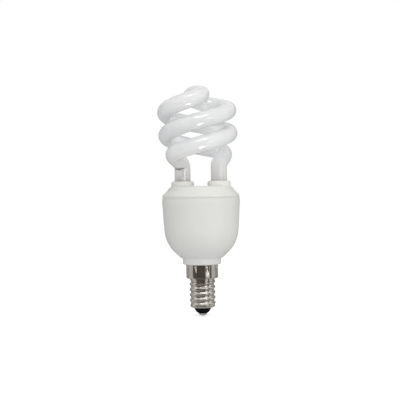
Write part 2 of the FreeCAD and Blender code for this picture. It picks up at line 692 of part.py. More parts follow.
def board_lead(x, y, bottom, radius=LEAD_RADIUS, scale=LAYOUT_SCALE):
    """A lead that runs up through the board. Its hole is kept, scaled where the part will be."""
    hole = radius * scale + LEAD_CLEARANCE
    BOARD_CUTS.append(cylinder(x * scale, y * scale, BOARD_BOTTOM, BOARD_TOP, hole))
    return cylinder(x, y, bottom, BOARD_TOP + LEAD_PROUD, radius)


def cut_slot(x, y, size_x, size_y, scale=1):
    """Keeps a slot in the board for a flat leg or a square pin."""
    size = (size_x * scale + SLIDE_FIT, size_y * scale + SLIDE_FIT, BOARD_THICKNESS)
    BOARD_CUTS.append(block(x * scale, y * scale, BOARD_BOTTOM, size))


def make_circuit_board():
    board = cylinder(0, 0, BOARD_BOTTOM, BOARD_TOP, BOARD_RADIUS)
    return board.cut(Part.makeCompound(BOARD_CUTS))


def choke_half(yoke_z, direction):
    """An E core half: a yoke with three legs that point along direction, 1 up or -1 down."""
    x, y = CHOKE_AT
    yoke_bottom = yoke_z if direction > 0 else yoke_z - CORE_YOKE
    leg_length = CORE_HALF_HEIGHT - CORE_YOKE - CLOSE_FIT
    leg_bottom = yoke_z + CORE_YOKE if direction > 0 else yoke_z - CORE_YOKE - leg_length
    legs = [(y, CORE_CENTRE_LEG)]
    for side in (-1, 1):
        legs.append((y + side * (CORE_LENGTH - CORE_OUTER_LEG) / 2, CORE_OUTER_LEG))
    yoke = block(x, y, yoke_bottom, (CORE_DEPTH, CORE_LENGTH, CORE_YOKE))
    pillars = [block(x, leg_y, leg_bottom, (CORE_DEPTH, width, leg_length)) for leg_y, width in legs]
    return union([yoke] + pillars)


def choke_levels():
    top = BOARD_BOTTOM - CHOKE_GAP_TO_BOARD
    bottom = top - 2 * CORE_HALF_HEIGHT
    return bottom, top


def choke_tube_size():
    inner = (CORE_DEPTH + 2 * SLIDE_FIT, CORE_CENTRE_LEG + 2 * SLIDE_FIT)
    outer = (inner[0] + 2 * BOBBIN_WALL, inner[1] + 2 * BOBBIN_WALL)
    return inner, outer


def make_choke_bobbin():
    x, y = CHOKE_AT
    bottom, top = choke_levels()
    low = bottom + CORE_YOKE + CLOSE_FIT
    high = top - CORE_YOKE - CLOSE_FIT
    inner, outer = choke_tube_size()
    flange_y = CORE_CENTRE_LEG + 2 * (CORE_WINDOW - SLIDE_FIT)
    flange = (2 * BOBBIN_REACH, flange_y, BOBBIN_FLANGE)
    rail_width = BOBBIN_REACH - CORE_DEPTH / 2 - SLIDE_FIT
    rail = (rail_width, flange_y, BOARD_BOTTOM - high)
    pieces = [
        block(x, y, low, (outer[0], outer[1], high - low)),
        block(x, y, low, flange),
        block(x, y, high - BOBBIN_FLANGE, flange),
    ]
    pins = []
    for side in (-1, 1):
        rail_x = x + side * (BOBBIN_REACH - rail_width / 2)
        pieces.append(block(rail_x, y, high, rail))
        for end in (-1, 1):
            pins.append(board_lead(rail_x, y + end * flange_y / 3, high))
    body = union(pieces).cut(block(x, y, low, (inner[0], inner[1], high - low)))
    return union([body] + pins)


def make_choke_winding():
    x, y = CHOKE_AT
    bottom, top = choke_levels()
    low = bottom + CORE_YOKE + BOBBIN_FLANGE + 2 * CLOSE_FIT
    high = top - CORE_YOKE - BOBBIN_FLANGE - 2 * CLOSE_FIT
    inner, outer = choke_tube_size()
    hole = (outer[0] + 2 * CLOSE_FIT, outer[1] + 2 * CLOSE_FIT, high - low)
    full = (hole[0] + 2 * WINDING_THICKNESS, hole[1] + 2 * WINDING_THICKNESS, high - low)
    body = block(x, y, low, full)
    upright = [edge for edge in body.Edges if edge.BoundBox.ZLength > (high - low) / 2]
    return body.makeFillet(WINDING_THICKNESS * 0.9, upright).cut(block(x, y, low, hole))


def ring_centre():
    wire_reach = RING_SECTION_RADIUS + 2 * RING_WIRE_RADIUS + CLOSE_FIT
    height = BOARD_BOTTOM - RING_GAP_TO_BOARD - RING_RADIUS - wire_reach
    return Vector(RING_AT[0], RING_AT[1], height)


def make_drive_transformer_core():
    return Part.makeTorus(RING_RADIUS, RING_SECTION_RADIUS, ring_centre(), Vector(0, 1, 0))


def ring_wire_point(middle_angle, share):
    """A corner of a winding's wire, share 0 to 1 from its first to its last turn."""
    around = math.radians(middle_angle + RING_WINDING_HALF_ANGLE * (1 - 2 * share))
    turned = 2 * math.pi * RING_TURN_COUNT * share
    inner_reach = RING_SECTION_RADIUS + CLOSE_FIT + RING_WIRE_RADIUS
    reach = inner_reach / math.cos(math.pi / RING_CORNER_COUNT)
    outward = Vector(math.cos(around), 0, math.sin(around))
    radial = RING_RADIUS + reach * math.cos(turned)
    return ring_centre() + outward * radial + Vector(0, reach * math.sin(turned), 0)


def make_drive_winding(middle_angle):
    """A few turns round the ring's section, with both ends straight up to the board."""
    count = RING_TURN_COUNT * RING_CORNER_COUNT
    turns = [ring_wire_point(middle_angle, i / count) for i in range(count + 1)]
    bend = RING_SECTION_RADIUS + RING_WIRE_RADIUS
    wire = swept_tube(rounded_route(turns, bend), RING_WIRE_RADIUS)
    ends = []
    for point in (turns[0], turns[-1]):
        ends.append(Part.makeSphere(RING_WIRE_RADIUS, point))
        ends.append(board_lead(point.x, point.y, point.z, RING_WIRE_RADIUS))
    return union([wire] + ends)


def make_smoothing_capacitor():
    x, y, _ = on_circle(CAN_OFFSET, CAN_OFFSET_ANGLE)
    can = cylinder(x, y, CAN_BOTTOM, CAN_TOP, CAN_RADIUS)
    groove_z = CAN_TOP - CAN_GROOVE_BELOW_TOP
    groove = Part.makeTorus(CAN_RADIUS + CAN_GROOVE / 2, CAN_GROOVE, Vector(x, y, groove_z))
    leads = []
    for side in (-1, 1):
        leads.append(board_lead(x, y + side * CAN_LEAD_REACH, CAN_TOP, LEAD_RADIUS, 1))
    return union([can.cut(groove)] + leads)


def make_transistor(place):
    x, y = place
    top = BOARD_BOTTOM - TRANSISTOR_DROP
    bottom = top - TRANSISTOR_HEIGHT
    body = block(x, y, bottom, (TRANSISTOR_THICKNESS, TRANSISTOR_WIDTH, TRANSISTOR_HEIGHT))
    hole_start = Vector(x - TRANSISTOR_THICKNESS / 2, y, bottom + TRANSISTOR_HEIGHT * 0.3)
    hole = Part.makeCylinder(TRANSISTOR_HOLE_RADIUS, TRANSISTOR_THICKNESS, hole_start, Vector(1, 0, 0))
    leg_size = (TRANSISTOR_LEG_THICKNESS, TRANSISTOR_LEG_WIDTH, BOARD_TOP + LEAD_PROUD - top)
    legs = []
    for step in (-1, 0, 1):
        leg_y = y + step * TRANSISTOR_LEG_SPACING
        legs.append(block(x, leg_y, top, leg_size))
        cut_slot(x, leg_y, TRANSISTOR_LEG_THICKNESS, TRANSISTOR_LEG_WIDTH, LAYOUT_SCALE)
    return union([body.cut(hole)] + legs)


def axial_part(place, radius, length, half_pitch, lead_radius, direction):
    """A round body that lies under the board, with both leads bent up through it."""
    x, y = place
    level = BOARD_BOTTOM - AXIAL_DROP - radius
    along = Vector(*direction, 0)
    centre = Vector(x, y, level)
    body = Part.makeCylinder(radius, length, centre - along * (length / 2), along)
    body = body.makeFillet(radius * 0.25, [edge for edge in body.Edges if edge.Closed])
    pieces = [body]
    for side in (-1, 1):
        end = centre + along * (side * half_pitch)
        pieces.append(Part.makeCylinder(lead_radius, half_pitch, centre, along * side))
        pieces.append(Part.makeSphere(lead_radius, end))
        pieces.append(board_lead(end.x, end.y, level, lead_radius))
    return union(pieces)


def make_diode(place):
    return axial_part(place, DIODE_RADIUS, DIODE_LENGTH, DIODE_LEAD_REACH, DIODE_LEAD_RADIUS, (0, 1))


def make_diac():
    return axial_part(DIAC_PLACE, DIAC_RADIUS, DIAC_LENGTH, DIAC_LEAD_REACH, LEAD_RADIUS, (1, 0))


def make_resistor(place):
    return axial_part(place, RESISTOR_RADIUS, RESISTOR_LENGTH, RESISTOR_LEAD_REACH, LEAD_RADIUS, (0, 1))


def make_fuse_resistor():
    """An upright body that hangs from its lead, in line with the contact wire's end."""
    x, y = FUSE_PLACE
    top = BOARD_BOTTOM - AXIAL_DROP
    bottom = top - FUSE_LENGTH
    body = cylinder(x, y, bottom, top, FUSE_RADIUS)
    body = body.makeFillet(FUSE_RADIUS * 0.25, [edge for edge in body.Edges if edge.Closed])
    return union([body, board_lead(x, y, top - FUSE_RADIUS)])


def make_box_capacitor(place, length, width, height):
    x, y = place
    bottom = BOARD_BOTTOM - BOX_CAPACITOR_DROP - height
    body = block(x, y, bottom, (length, width, height))
    body = body.makeFillet(BOX_CAPACITOR_ROUND, body.Edges)
    reach = length / 2 - BOX_CAPACITOR_LEAD_INSET
    leads = [board_lead(x + side * reach, y, bottom + height / 2) for side in (-1, 1)]
    return union([body] + leads)


# Pins, tube wires and mains leads

def pin_places():
    """Two pins beside each leg, right leg first."""
    places = []
    for leg_angle in (LEG_ANGLE + 180, LEG_ANGLE):
        for side in (-1, 1):
            places.append(on_circle(PIN_CIRCLE_RADIUS, leg_angle + side * PIN_HALF_ANGLE))
    return places


def make_wrap_pin(place):
    cut_slot(place.x, place.y, PIN_SIDE, PIN_SIDE)
    height = BOARD_THICKNESS + PIN_HEIGHT
    return block(place.x, place.y, BOARD_BOTTOM, (PIN_SIDE, PIN_SIDE, height))


def make_electrode_lead(pin, leg):
    """A bare wire from the tube's end to its pin, wound round the pin's square corners."""
    corner_reach = (PIN_SIDE / 2 + CLOSE_FIT + ELECTRODE_LEAD_RADIUS) * math.sqrt(2)
    toward = (pin - leg).normalize()
    exit_point = leg + toward * (TUBE_RADIUS / 2)
    exit_point.z = TUBE_END
    wrap_bottom = BOARD_TOP + WRAP_ABOVE_BOARD
    inward = math.degrees(math.atan2(-toward.y, -toward.x))
    first_corner = QUARTER_TURN * (math.floor(inward / QUARTER_TURN) + 0.5)
    turns = []
    for i in range(4 * WRAP_COUNT + 1):
        height = wrap_bottom + WRAP_RISE * (WRAP_COUNT - i / 4)
        turns.append(pin + on_circle(corner_reach, first_corner + QUARTER_TURN * i, height))
    bend = ELECTRODE_LEAD_RADIUS * 1.2
    knee = Vector(exit_point.x, exit_point.y, turns[0].z + WRAP_RISE)
    return swept_tube(rounded_route([exit_point, knee] + turns, bend), ELECTRODE_LEAD_RADIUS)


def insulated_wire(points):
    """A sleeved wire along its route, with its bare end up through the board."""
    end = points[-1]
    sleeve = swept_tube(rounded_route(points, WIRE_BEND), WIRE_RADIUS)
    return union([sleeve, board_lead(end.x, end.y, end.z - WIRE_RADIUS, WIRE_CORE_RADIUS, 1)])


def make_contact_wire():
    under_board = laid(CONTACT_WIRE_PLACE)
    route = [
        Vector(0, 0, CONTACT_SHANK_TOP + CLOSE_FIT),
        Vector(0, 0, (CONTACT_SHANK_TOP + SCREW_TOP) / 2),
        on_circle(WIRE_CIRCLE_RADIUS, CONTACT_WIRE_ANGLE, SPIGOT_BOTTOM),
        on_circle(WIRE_CIRCLE_RADIUS, CONTACT_WIRE_ANGLE, CAN_TOP),
        Vector(*under_board, BOWL_TOP),
        Vector(*under_board, BOARD_BOTTOM - SLIDE_FIT),
    ]
    bare_end = cylinder(0, 0, CONTACT_HEIGHT + CLOSE_FIT, route[1].z, WIRE_CORE_RADIUS)
    return union([insulated_wire(route), bare_end])


def make_shell_wire():
    under_board = laid(SHELL_WIRE_PLACE)
    route = [
        on_circle(WIRE_CIRCLE_RADIUS, SHELL_WIRE_ANGLE, SCREW_BOTTOM + SCREW_LENGTH / 2),
        on_circle(WIRE_CIRCLE_RADIUS, SHELL_WIRE_ANGLE, CAN_TOP),
        Vector(*under_board, BOWL_TOP),
        Vector(*under_board, BOARD_BOTTOM - SLIDE_FIT),
    ]
    return insulated_wire(route)


def save(name, shape):
    shape.exportStep("parts/" + name + ".step")


def main():
    os.makedirs("parts", exist_ok=True)
    right, left = leg_places()
    bottom, top = choke_levels()
    save("centre_contact", make_centre_contact())
    save("base_insulator", make_base_insulator())
    save("screw_shell", make_screw_shell())
    save("housing", make_housing())
    save("tube_cover", make_tube_cover())
    save("tube_cement_right", make_cement(right))
    save("tube_cement_left", make_cement(left))
    save("spiral_tube", make_spiral_tube())
    save("choke_core_1", fitted(choke_half(top, -1)))
    save("choke_core_2", fitted(choke_half(bottom, 1)))
    save("choke_bobbin", fitted(make_choke_bobbin()))
    save("choke_winding", fitted(make_choke_winding()))
    save("drive_transformer_core", fitted(make_drive_transformer_core()))
    for number, angle in enumerate(RING_WINDING_ANGLES, 1):
        save("drive_transformer_winding_%d" % number, fitted(make_drive_winding(angle)))
    save("smoothing_capacitor", make_smoothing_capacitor())
    for number, place in enumerate(TRANSISTOR_PLACES, 1):
        save("transistor_%d" % number, fitted(make_transistor(place)))
    for number, place in enumerate(DIODE_PLACES, 1):
        save("rectifier_diode_%d" % number, fitted(make_diode(place)))
    for number, place in enumerate(RESISTOR_PLACES, 1):
        save("resistor_%d" % number, fitted(make_resistor(place)))
    save("diac", fitted(make_diac()))
    save("fuse_resistor", fitted(make_fuse_resistor()))
    boxes = {
        "blocking": (BLOCKING_PLACE, BLOCKING_LENGTH, BLOCKING_WIDTH, BLOCKING_HEIGHT),
        "resonance": (RESONANCE_PLACE, RESONANCE_LENGTH, RESONANCE_WIDTH, RESONANCE_HEIGHT),
        "starting": (STARTING_PLACE, STARTING_LENGTH, STARTING_WIDTH, STARTING_HEIGHT),
    }
    for name, sizes in boxes.items():
        save(name + "_capacitor", fitted(make_box_capacitor(*sizes)))
    for number, pin in enumerate(pin_places(), 1):
        leg = right if number <= 2 else left
        save("wrap_pin_%d" % number, make_wrap_pin(pin))
        save("electrode_lead_%d" % number, make_electrode_lead(pin, leg))
    save("contact_wire", make_contact_wire())
    save("shell_wire", make_shell_wire())
    save("circuit_board", make_circuit_board())


main()
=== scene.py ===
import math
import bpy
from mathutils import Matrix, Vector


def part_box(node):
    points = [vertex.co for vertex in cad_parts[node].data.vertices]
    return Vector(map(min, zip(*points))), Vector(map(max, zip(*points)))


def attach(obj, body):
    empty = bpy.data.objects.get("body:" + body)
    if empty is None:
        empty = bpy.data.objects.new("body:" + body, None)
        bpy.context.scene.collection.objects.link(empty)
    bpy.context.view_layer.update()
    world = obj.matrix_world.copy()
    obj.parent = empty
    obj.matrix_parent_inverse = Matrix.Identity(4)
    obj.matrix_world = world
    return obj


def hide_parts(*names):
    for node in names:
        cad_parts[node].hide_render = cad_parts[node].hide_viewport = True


bl_info = {
    "name": "Spiral energy saving bulb",
    "version": (1, 0, 0),
    "blender": (4, 5, 0),
    "location": "View3D > Sidebar > Bulb",
    "description": "Dresses the solids of a compact fluorescent bulb and sets up a small studio",
    "category": "Object",
}

import bmesh
import bpy
from bpy.props import FloatProperty, FloatVectorProperty, IntProperty, PointerProperty
from mathutils import Matrix, Vector

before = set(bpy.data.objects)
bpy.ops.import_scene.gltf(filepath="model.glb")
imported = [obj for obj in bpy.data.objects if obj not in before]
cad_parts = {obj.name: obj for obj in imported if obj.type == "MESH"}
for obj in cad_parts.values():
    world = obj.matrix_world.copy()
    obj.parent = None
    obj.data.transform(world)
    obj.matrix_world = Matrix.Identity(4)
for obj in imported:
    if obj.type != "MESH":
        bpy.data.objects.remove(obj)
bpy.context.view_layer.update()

MM = 0.001
FULL_TURN = 2 * math.pi
WHITE = (1.0, 1.0, 1.0)
BLACK = (0.0, 0.0, 0.0)


def length(name, description, default_mm):
    """A size of the bulb, with its default given in millimetres."""
    return distance(name, description, default_mm * MM)


def distance(name, description, default):
    """A size of the bulb, with its default given in metres, as the frame gives it."""
    return FloatProperty(
        name=name, description=description, default=default,
        unit="LENGTH", subtype="DISTANCE", precision=5,
    )


def span(node):
    """A solid's lowest height, highest height and largest radius, for one that stands on the axis."""
    low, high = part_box(node)
    return low.z, high.z, high.x


def angle(name, description, default_degrees):
    """An angle, with its default given in degrees."""
    return FloatProperty(
        name=name, description=description, default=math.radians(default_degrees),
        unit="ROTATION", subtype="ANGLE",
    )


def colour(name, description, default):
    """A surface colour."""
    return FloatVectorProperty(
        name=name, description=description, default=default, size=3,
        min=0.0, max=1.0, subtype="COLOR",
    )


spigot_bottom, seam, band_radius = span("housing")
_, skirt_top, skirt_radius = span("screw_shell")
board_bottom, _, board_radius = span("circuit_board")
_, socket_top, _ = span("tube_cover")
leg_end, _, _ = span("spiral_tube")
contact_rim, flange_top, flange_radius = span("base_insulator")
_, shank_top, contact_radius = span("centre_contact")


class GlassTubeSizes(bpy.types.PropertyGroup):
    """Sizes of the glass spiral's centre line and section."""

    tube_radius: length("Tube radius", "Outside radius of the glass tube", 4.25)
    coil_radius: length("Coil radius", "Radius of the spiral at the tube's middle", 16.68)
    pitch: length("Pitch", "Rise of one strand in a full turn", 24.17)
    strand_turn: angle("Turn of one strand", "How far one strand turns from the crown down", 447.2)
    top_angle: angle("Crown direction", "Where the strand leaves the crown, seen from above", 316.6)
    lean: angle("Lean", "Tilt of the spiral on its legs", 2.0)
    shift: length("Shift", "How far the spiral stands off the axis", -0.16)
    rise: length("Rise", "Height of the spiral's lowest turn over the sockets", 15.92)
    crown_sweep: angle("Crown sweep", "Turn over which the strand moves in to the crown", 97.9)
    crown_power: FloatProperty(
        name="Crown fullness", description="Shape of the strand's way in to the crown", default=0.863
    )
    crown_drop: length("Crown bump", "Height of the crown's bump over the top turn", 1.3)
    crown_rounding: angle("Crown rounding", "Turn over which the strand levels out", 14.0)
    socket_top: distance("Socket top", "Height of the sockets that hold the legs", socket_top)
    leg_straight: length("Straight leg", "Height of the legs over the sockets", 7.53)
    leg_end: distance("Leg end", "Height of the tube's sealed ends", leg_end)
    coil_handle: length("Bend handle on the spiral", "Pull of the bend on the spiral's side", 8.45)
    leg_handle: length("Bend handle on the leg", "Pull of the bend on the leg's side", 3.83)
    end_round: length("End rounding", "Rounding of the tube's sealed ends", 1.2)
    step: length("Step", "Distance between the tube's sections", 0.8)
    sides: IntProperty(name="Sides", description="Sides of the tube's section", default=56)
    bend_steps: IntProperty(name="Bend steps", description="Sections in the bend of a leg", default=26)
    leg_steps: IntProperty(name="Leg steps", description="Sections in a straight leg", default=4)
    coil_steps: IntProperty(name="Spiral steps", description="Sections in one strand", default=190)


class HousingSizes(bpy.types.PropertyGroup):
    """Steps of the housing's outline, from the cap up to the seam with the cover."""

    skirt_radius: distance("Skirt radius", "Radius of the cap's skirt", skirt_radius)
    skirt_top: distance("Skirt top", "Height at which the housing meets the cap", skirt_top)
    spigot_bottom: distance("Spigot bottom", "Lower end of the neck inside the cap", spigot_bottom)
    spigot_inset: length("Spigot inset", "Gap and sheet between the spigot and the skirt's outside", 0.35)
    spigot_wall: length("Spigot wall", "Wall of the neck inside the cap", 1.55)
    neck_step: length("Neck step", "How far the neck stands out from the skirt", 1.7)
    neck_height: length("Neck height", "Height of the neck above the cap", 3.4)
    neck_chamfer: length("Neck chamfer", "Chamfer of the neck's lower edge", 0.4)
    ledge_step: length("Ledge", "How far the bowl stands out from the neck", 1.0)
    cone_inset: length("Cone inset", "How far the cone's top lies inside the band", 6.42)
    cone_height: length("Cone height", "Height of the cone under the bowl's curve", 2.8)
    bowl_inset: length("Bowl inset", "How far the top of the bowl's curve lies inside the band", 0.72)
    bowl_height: length("Bowl height", "Height of the bowl's curve", 13.1)
    wall_inset: length("Wall inset", "How far the wall's top lies inside the band", 0.22)
    wall_height: length("Wall height", "Height of the wall between the curve and the band", 10.5)
    band_radius: distance("Band radius", "Radius of the raised band", band_radius)
    band_ease: length("Band ease", "Height over which the wall swells into the band", 2.2)
    lip_height: length("Lip height", "Height of the lip above the band", 1.0)
    lip_inset: length("Lip inset", "How far the lip lies inside the band", 0.11)
    seam: distance("Seam", "Height of the seam between housing and cover", seam)
    mouth_inset: length("Mouth inset", "Thickness of the wall's mouth, from the band in", 1.42)
    board_bottom: distance("Board height", "Height of the shoulder below the board", board_bottom)
    wall: length("Wall thickness", "Thickness of the wall", 1.3)
    edge_round: length("Edge rounding", "Rounding of the moulded edges", 0.12)
    board_radius: distance("Board radius", "Radius of the board that the ribs carry", board_radius)
    rib_reach: length("Rib reach", "How far a rib reaches under the board", 1.7)
    rib_thickness: length("Rib thickness", "Thickness of a rib", 1.2)
    rib_height: length("Rib height", "Height of a rib", 12.0)
    rib_turn: angle("First rib", "Where the first rib stands, seen from above", 18.0)
    ribs: IntProperty(name="Ribs", description="Number of ribs below the board", default=6)
    bowl_steps: IntProperty(name="Bowl steps", description="Steps in the bowl's curve", default=18)
    sides: IntProperty(name="Sides", description="Sides of the turned housing", default=144)


class CapSizes(bpy.types.PropertyGroup):
    """Sizes of the black insulator and the contact."""

    flat_radius: length("Contact flat", "Radius of the contact's flat tip", 0.5)
    contact_radius: distance("Contact radius", "Largest radius of the contact", contact_radius)
    contact_rim: distance("Contact height", "Height of the contact's dome", contact_rim)
    shank_radius: length("Shank radius", "Radius of the contact's shank", 1.0)
    shank_top: distance("Shank top", "Upper end of the shank", shank_top)
    cone_radius: length("Cone radius", "Largest radius of the black cone", 4.5)
    cone_height: length("Cone height", "Height of the black cone over the contact", 2.95)
    bulge: length("Bulge", "How far the black cone swells out of a straight cone", 0.4)
    neck_radius: length("Neck radius", "Radius in the mouth of the shell", 4.95)
    neck_height: length("Neck height", "Height of the insulator's neck in the mouth", 0.45)
    flange_radius: distance("Flange radius", "Radius of the flange inside the shell", flange_radius)
    flange_top: distance("Flange top", "Upper edge of the flange", flange_top)
    flange_wall: length("Flange wall", "Wall of the flange and depth of its recess", 1.0)
    play: length("Play", "Gap between shank and insulator", 0.05)
    edge_round: length("Edge rounding", "Rounding of the edges", 0.15)
    dome_steps: IntProperty(name="Dome steps", description="Steps in the contact's dome", default=8)
    sides: IntProperty(name="Sides", description="Sides of the turned pieces", default=96)


class FinishColours(bpy.types.PropertyGroup):
    """Colours of the finishes that show."""

    coating: colour("Coating", "White coating inside the glass", (0.82, 0.82, 0.82))
    coating_thin: colour("Thin coating", "Where the coating is thinner", (0.76, 0.765, 0.775))
    # Painted shade: the darker coating colour that the legs fade to near the sockets
    coating_painted_shade: colour("Coating at the legs", "Painted shade on the coating near the sockets", (0.63, 0.62, 0.60))
    housing: colour("Housing", "White plastic of the housing", (0.785, 0.79, 0.765))
    cover: colour("Cover", "White plastic of the cover", (0.86, 0.865, 0.83))
    nickel: colour("Nickel", "Plated screw shell", (0.60, 0.565, 0.52))
    nickel_dull: colour("Dull nickel", "Spots where the plating is dull", (0.42, 0.39, 0.33))
    black_glass: colour("Black glass", "Pressed glass of the insulator", (0.006, 0.005, 0.006))
    black_glass_pale: colour("Paler black glass", "The glass where it waves", (0.010, 0.009, 0.010))
    contact: colour("Contact", "Tinned centre contact", (0.90, 0.89, 0.89))
    contact_rubbed: colour("Rubbed contact", "Where the tin is rubbed", (0.60, 0.58, 0.56))


class StudioSizes(bpy.types.PropertyGroup):
    """Camera, paper and light of the studio."""

    distance: length("Camera distance", "Distance from the camera to the bulb's axis", 527.0)
    view_width: length("View width", "Width that the picture shows at the bulb", 212.0)
    aim_side: length("Aim aside", "Where the camera aims, to the right of the axis", -0.52)
    aim_height: length("Aim height", "Height at which the camera aims", 61.24)
    elevation: angle("Camera elevation", "How far the camera looks down", 0.745)
    roll: angle("Camera roll", "How far the camera is turned in its own plane", 0.974)
    floor_radius: length("Floor radius", "Radius of the pale floor", 4000.0)
    card_distance: length("Card distance", "Distance of the paper from the bulb's axis", 115.0)
    card_top: length("Card top", "Upper edge of the paper", 150.0)
    mat_inner: length("Mat inner edge", "Where the paper's flat foot starts", 16.0)
    mat_height: length("Mat height", "Height of the paper's flat foot", 0.5)
    card_steps: IntProperty(name="Card steps", description="Facets in one sheet of paper", default=16)
    floor_sides: IntProperty(name="Floor sides", description="Sides of the round floor", default=96)
    sky_strength: FloatProperty(
        name="Room light", description="Light of the white room on the bulb", default=0.52
    )
    floor_glow: FloatProperty(
        name="Floor glow", description="White that the camera adds to the floor", default=0.56
    )
    floor: colour("Floor", "Paper of the floor", (0.86, 0.86, 0.86))
    floor_other: colour("Floor, other tone", "Paper of the floor in places", (0.85, 0.85, 0.85))
    dark: colour("Dark paper", "Paper that only gloss sees", (0.13, 0.115, 0.10))
    dark_other: colour("Dark paper, other tone", "The same in places", (0.17, 0.15, 0.13))
    grey: colour("Grey paper", "Paler paper that only gloss sees", (0.50, 0.50, 0.50))
    grey_other: colour("Grey paper, other tone", "The same in places", (0.56, 0.56, 0.56))
    near: length("Near limit", "Nearest distance that the camera shows", 10.0)
    far: length("Far limit", "Farthest distance that the camera shows", 20000.0)


# Height over the sockets at which the painted shade on the legs ends
LEG_SHADE_TOP = 14 * MM

# Share of a strand's turn at the point from which its last heading is taken
NEAR_STRAND_END = 0.999

# How far the inside of the cone's top lies in and up from the outside, in walls
CONE_TOP_IN = 1.3
CONE_TOP_UP = 0.9

# Points nearer than this are one, in a copy of a solid and in a turned piece
SOLID_MERGE = 0.002 * MM
TURNED_MERGE = 0.001 * MM

# The angle in degrees over which an edge of the tube's sealed ends is a rim
RIM_ANGLE = 60

# What is left of a plastic's red, green and blue where it is warmer
WARMER = (0.985, 0.98, 0.955)

# Where the paper that only gloss sees stands, as start and sweep in degrees from the bulb's front
DARK_ARCS = ((-64, 92), (53, 15))
GREY_ARCS = ((105, 150),)

# The point that the lamps are aimed at, and how far from it they stand, in metres
LAMP_AIM = Vector((0, 0, 100 * MM))
LAMP_DISTANCE = 1.2

# For each lamp: its name, its bearing from the bulb's front and its height over the point, both in
# degrees, its size in metres and its watts
SOFT_LAMPS = (
    ("front lamp", 0, 1, (0.1, 0.1), 3.2),
    ("side lamp", 50, 12, (0.5, 1.2), 2.8),
    ("back lamp", 180, 12, (0.8, 0.8), 3.0),
    ("top lamp", 12, 60, (0.34, 0.26), 1.6),
)
FILL_LAMP = ("fill lamp", -50, 34, (0.9, 0.6), 0.3)

# The same for the lamps that show in the gloss of one piece alone, with the name of that piece
GLEAMS = (
    (("upper gleam", 0, 50, (0.6, 0.3), 5.0), "glass_spiral"),
    (("leg gleam", 33, 1, (0.11, 0.34), 2.3), "glass_spiral"),
    (("cap gleam", 32, 14, (0.16, 0.62), 0.55), "rolled_shell"),
    (("thread gleam", 2, 60, (1.2, 0.24), 2.6), "rolled_shell"),
)
TABLE_GLEAM = ("table gleam", 26, -46, (0.034, 0.03), 0.13)
TABLE_GLEAM_DISTANCE = 136 * MM

# The turn, as a quaternion, with which a lamp shines straight up
FACING_UP = (0, 1, 0, 0)

# The weak light inside the spiral
INNER_LIGHT_HEIGHT = 95 * MM
INNER_LIGHT_RADIUS = 6 * MM
INNER_LIGHT_WATTS = 0.0018


class Signal:
    """A shader socket that can stand in sums and products."""

    def __init__(self, shader, socket):
        self.shader = shader
        self.socket = socket

    def __add__(self, other):
        return self.shader.maths("ADD", self, other)

    def __radd__(self, other):
        return self.shader.maths("ADD", other, self)

    def __mul__(self, other):
        return self.shader.maths("MULTIPLY", self, other)

    def __rmul__(self, other):
        return self.shader.maths("MULTIPLY", other, self)


class Shader:
    """The nodes of a material or of the room, put together from none."""

    def __init__(self, owner):
        owner.use_nodes = True
        self.tree = owner.node_tree
        self.tree.nodes.clear()

    def node(self, kind, settings=None, sockets=None, output=0):
        """Adds a node, sets it, joins its sockets and returns one of its outputs."""
        made = self.tree.nodes.new(kind)
        for setting, value in (settings or {}).items():
            setattr(made, setting, value)
        for socket, value in (sockets or {}).items():
            self.join(made.inputs[socket], value)
        return Signal(self, made.outputs[output])

    def maths(self, operation, first, second):
        """A Math node on two values, each a signal or a plain number."""
        return self.node("ShaderNodeMath", {"operation": operation}, {0: first, 1: second})

    def end(self, kind, surface):
        """Adds the last node and joins the surface to it."""
        self.join(self.tree.nodes.new(kind).inputs["Surface"], surface)

    def join(self, target, value):
        """Joins a signal to a socket, or sets the socket to a plain value."""
        if isinstance(value, Signal):
            self.tree.links.new(value.socket, target)
        else:
            target.default_value = value


class Finish(Shader):
    """A material that is being put together round one surface shader."""

    def __init__(self, name, **constants):
        self.material = bpy.data.materials.new(name)
        super().__init__(self.material)
        surface = self.node("ShaderNodeBsdfPrincipled")
        self.end("ShaderNodeOutputMaterial", surface)
        self.surface = surface.socket.node
        self.feed(**constants)
        self.place = self.node("ShaderNodeTexCoord", output="Object")

    def feed(self, **sockets):
        """Gives sockets of the surface shader a signal or a plain value."""
        for socket, value in sockets.items():
            self.join(self.surface.inputs[socket.replace("_", " ")], value)

    def stretched(self, x, y, z):
        """The object's coordinates, stretched along each axis."""
        sockets = {"Vector": self.place, "Scale": (x, y, z)}
        return self.node("ShaderNodeMapping", sockets=sockets)

    def noise(self, per_metre, detail=3.0, roughness=0.5, place=None):
        """Soft noise between 0 and 1 with the given number of grains to the metre."""
        sockets = {
            "Vector": place or self.place,
            "Scale": per_metre,
            "Detail": detail,
            "Roughness": roughness,
        }
        return self.node("ShaderNodeTexNoise", sockets=sockets)

    def height(self):
        """The height over the bulb's lower tip, in metres."""
        return self.node("ShaderNodeSeparateXYZ", sockets={"Vector": self.place}, output="Z")

    def graded(self, signal, low, high):
        """The signal with its range from low to high spread over 0 to 1."""
        sockets = {"Value": signal, "From Min": low, "From Max": high}
        return self.node("ShaderNodeMapRange", {"clamp": True}, sockets)

    def mixed(self, share, first, second):
        """A mix of two colours, through the sockets that a Mix node has for colours."""
        sockets = {0: share, 6: shade(first), 7: shade(second)}
        return self.node("ShaderNodeMix", {"data_type": "RGBA"}, sockets, output=2)

    def bumped(self, height, depth_mm, strength):
        """Relief of the given depth, joined to the surface's normal."""
        sockets = {"Height": height, "Distance": depth_mm * MM, "Strength": strength}
        self.feed(Normal=self.node("ShaderNodeBump", sockets=sockets))


def shade(value):
    """A colour with the fourth number that a socket needs."""
    if isinstance(value, Signal):
        return value
    return (value[0], value[1], value[2], 1.0)


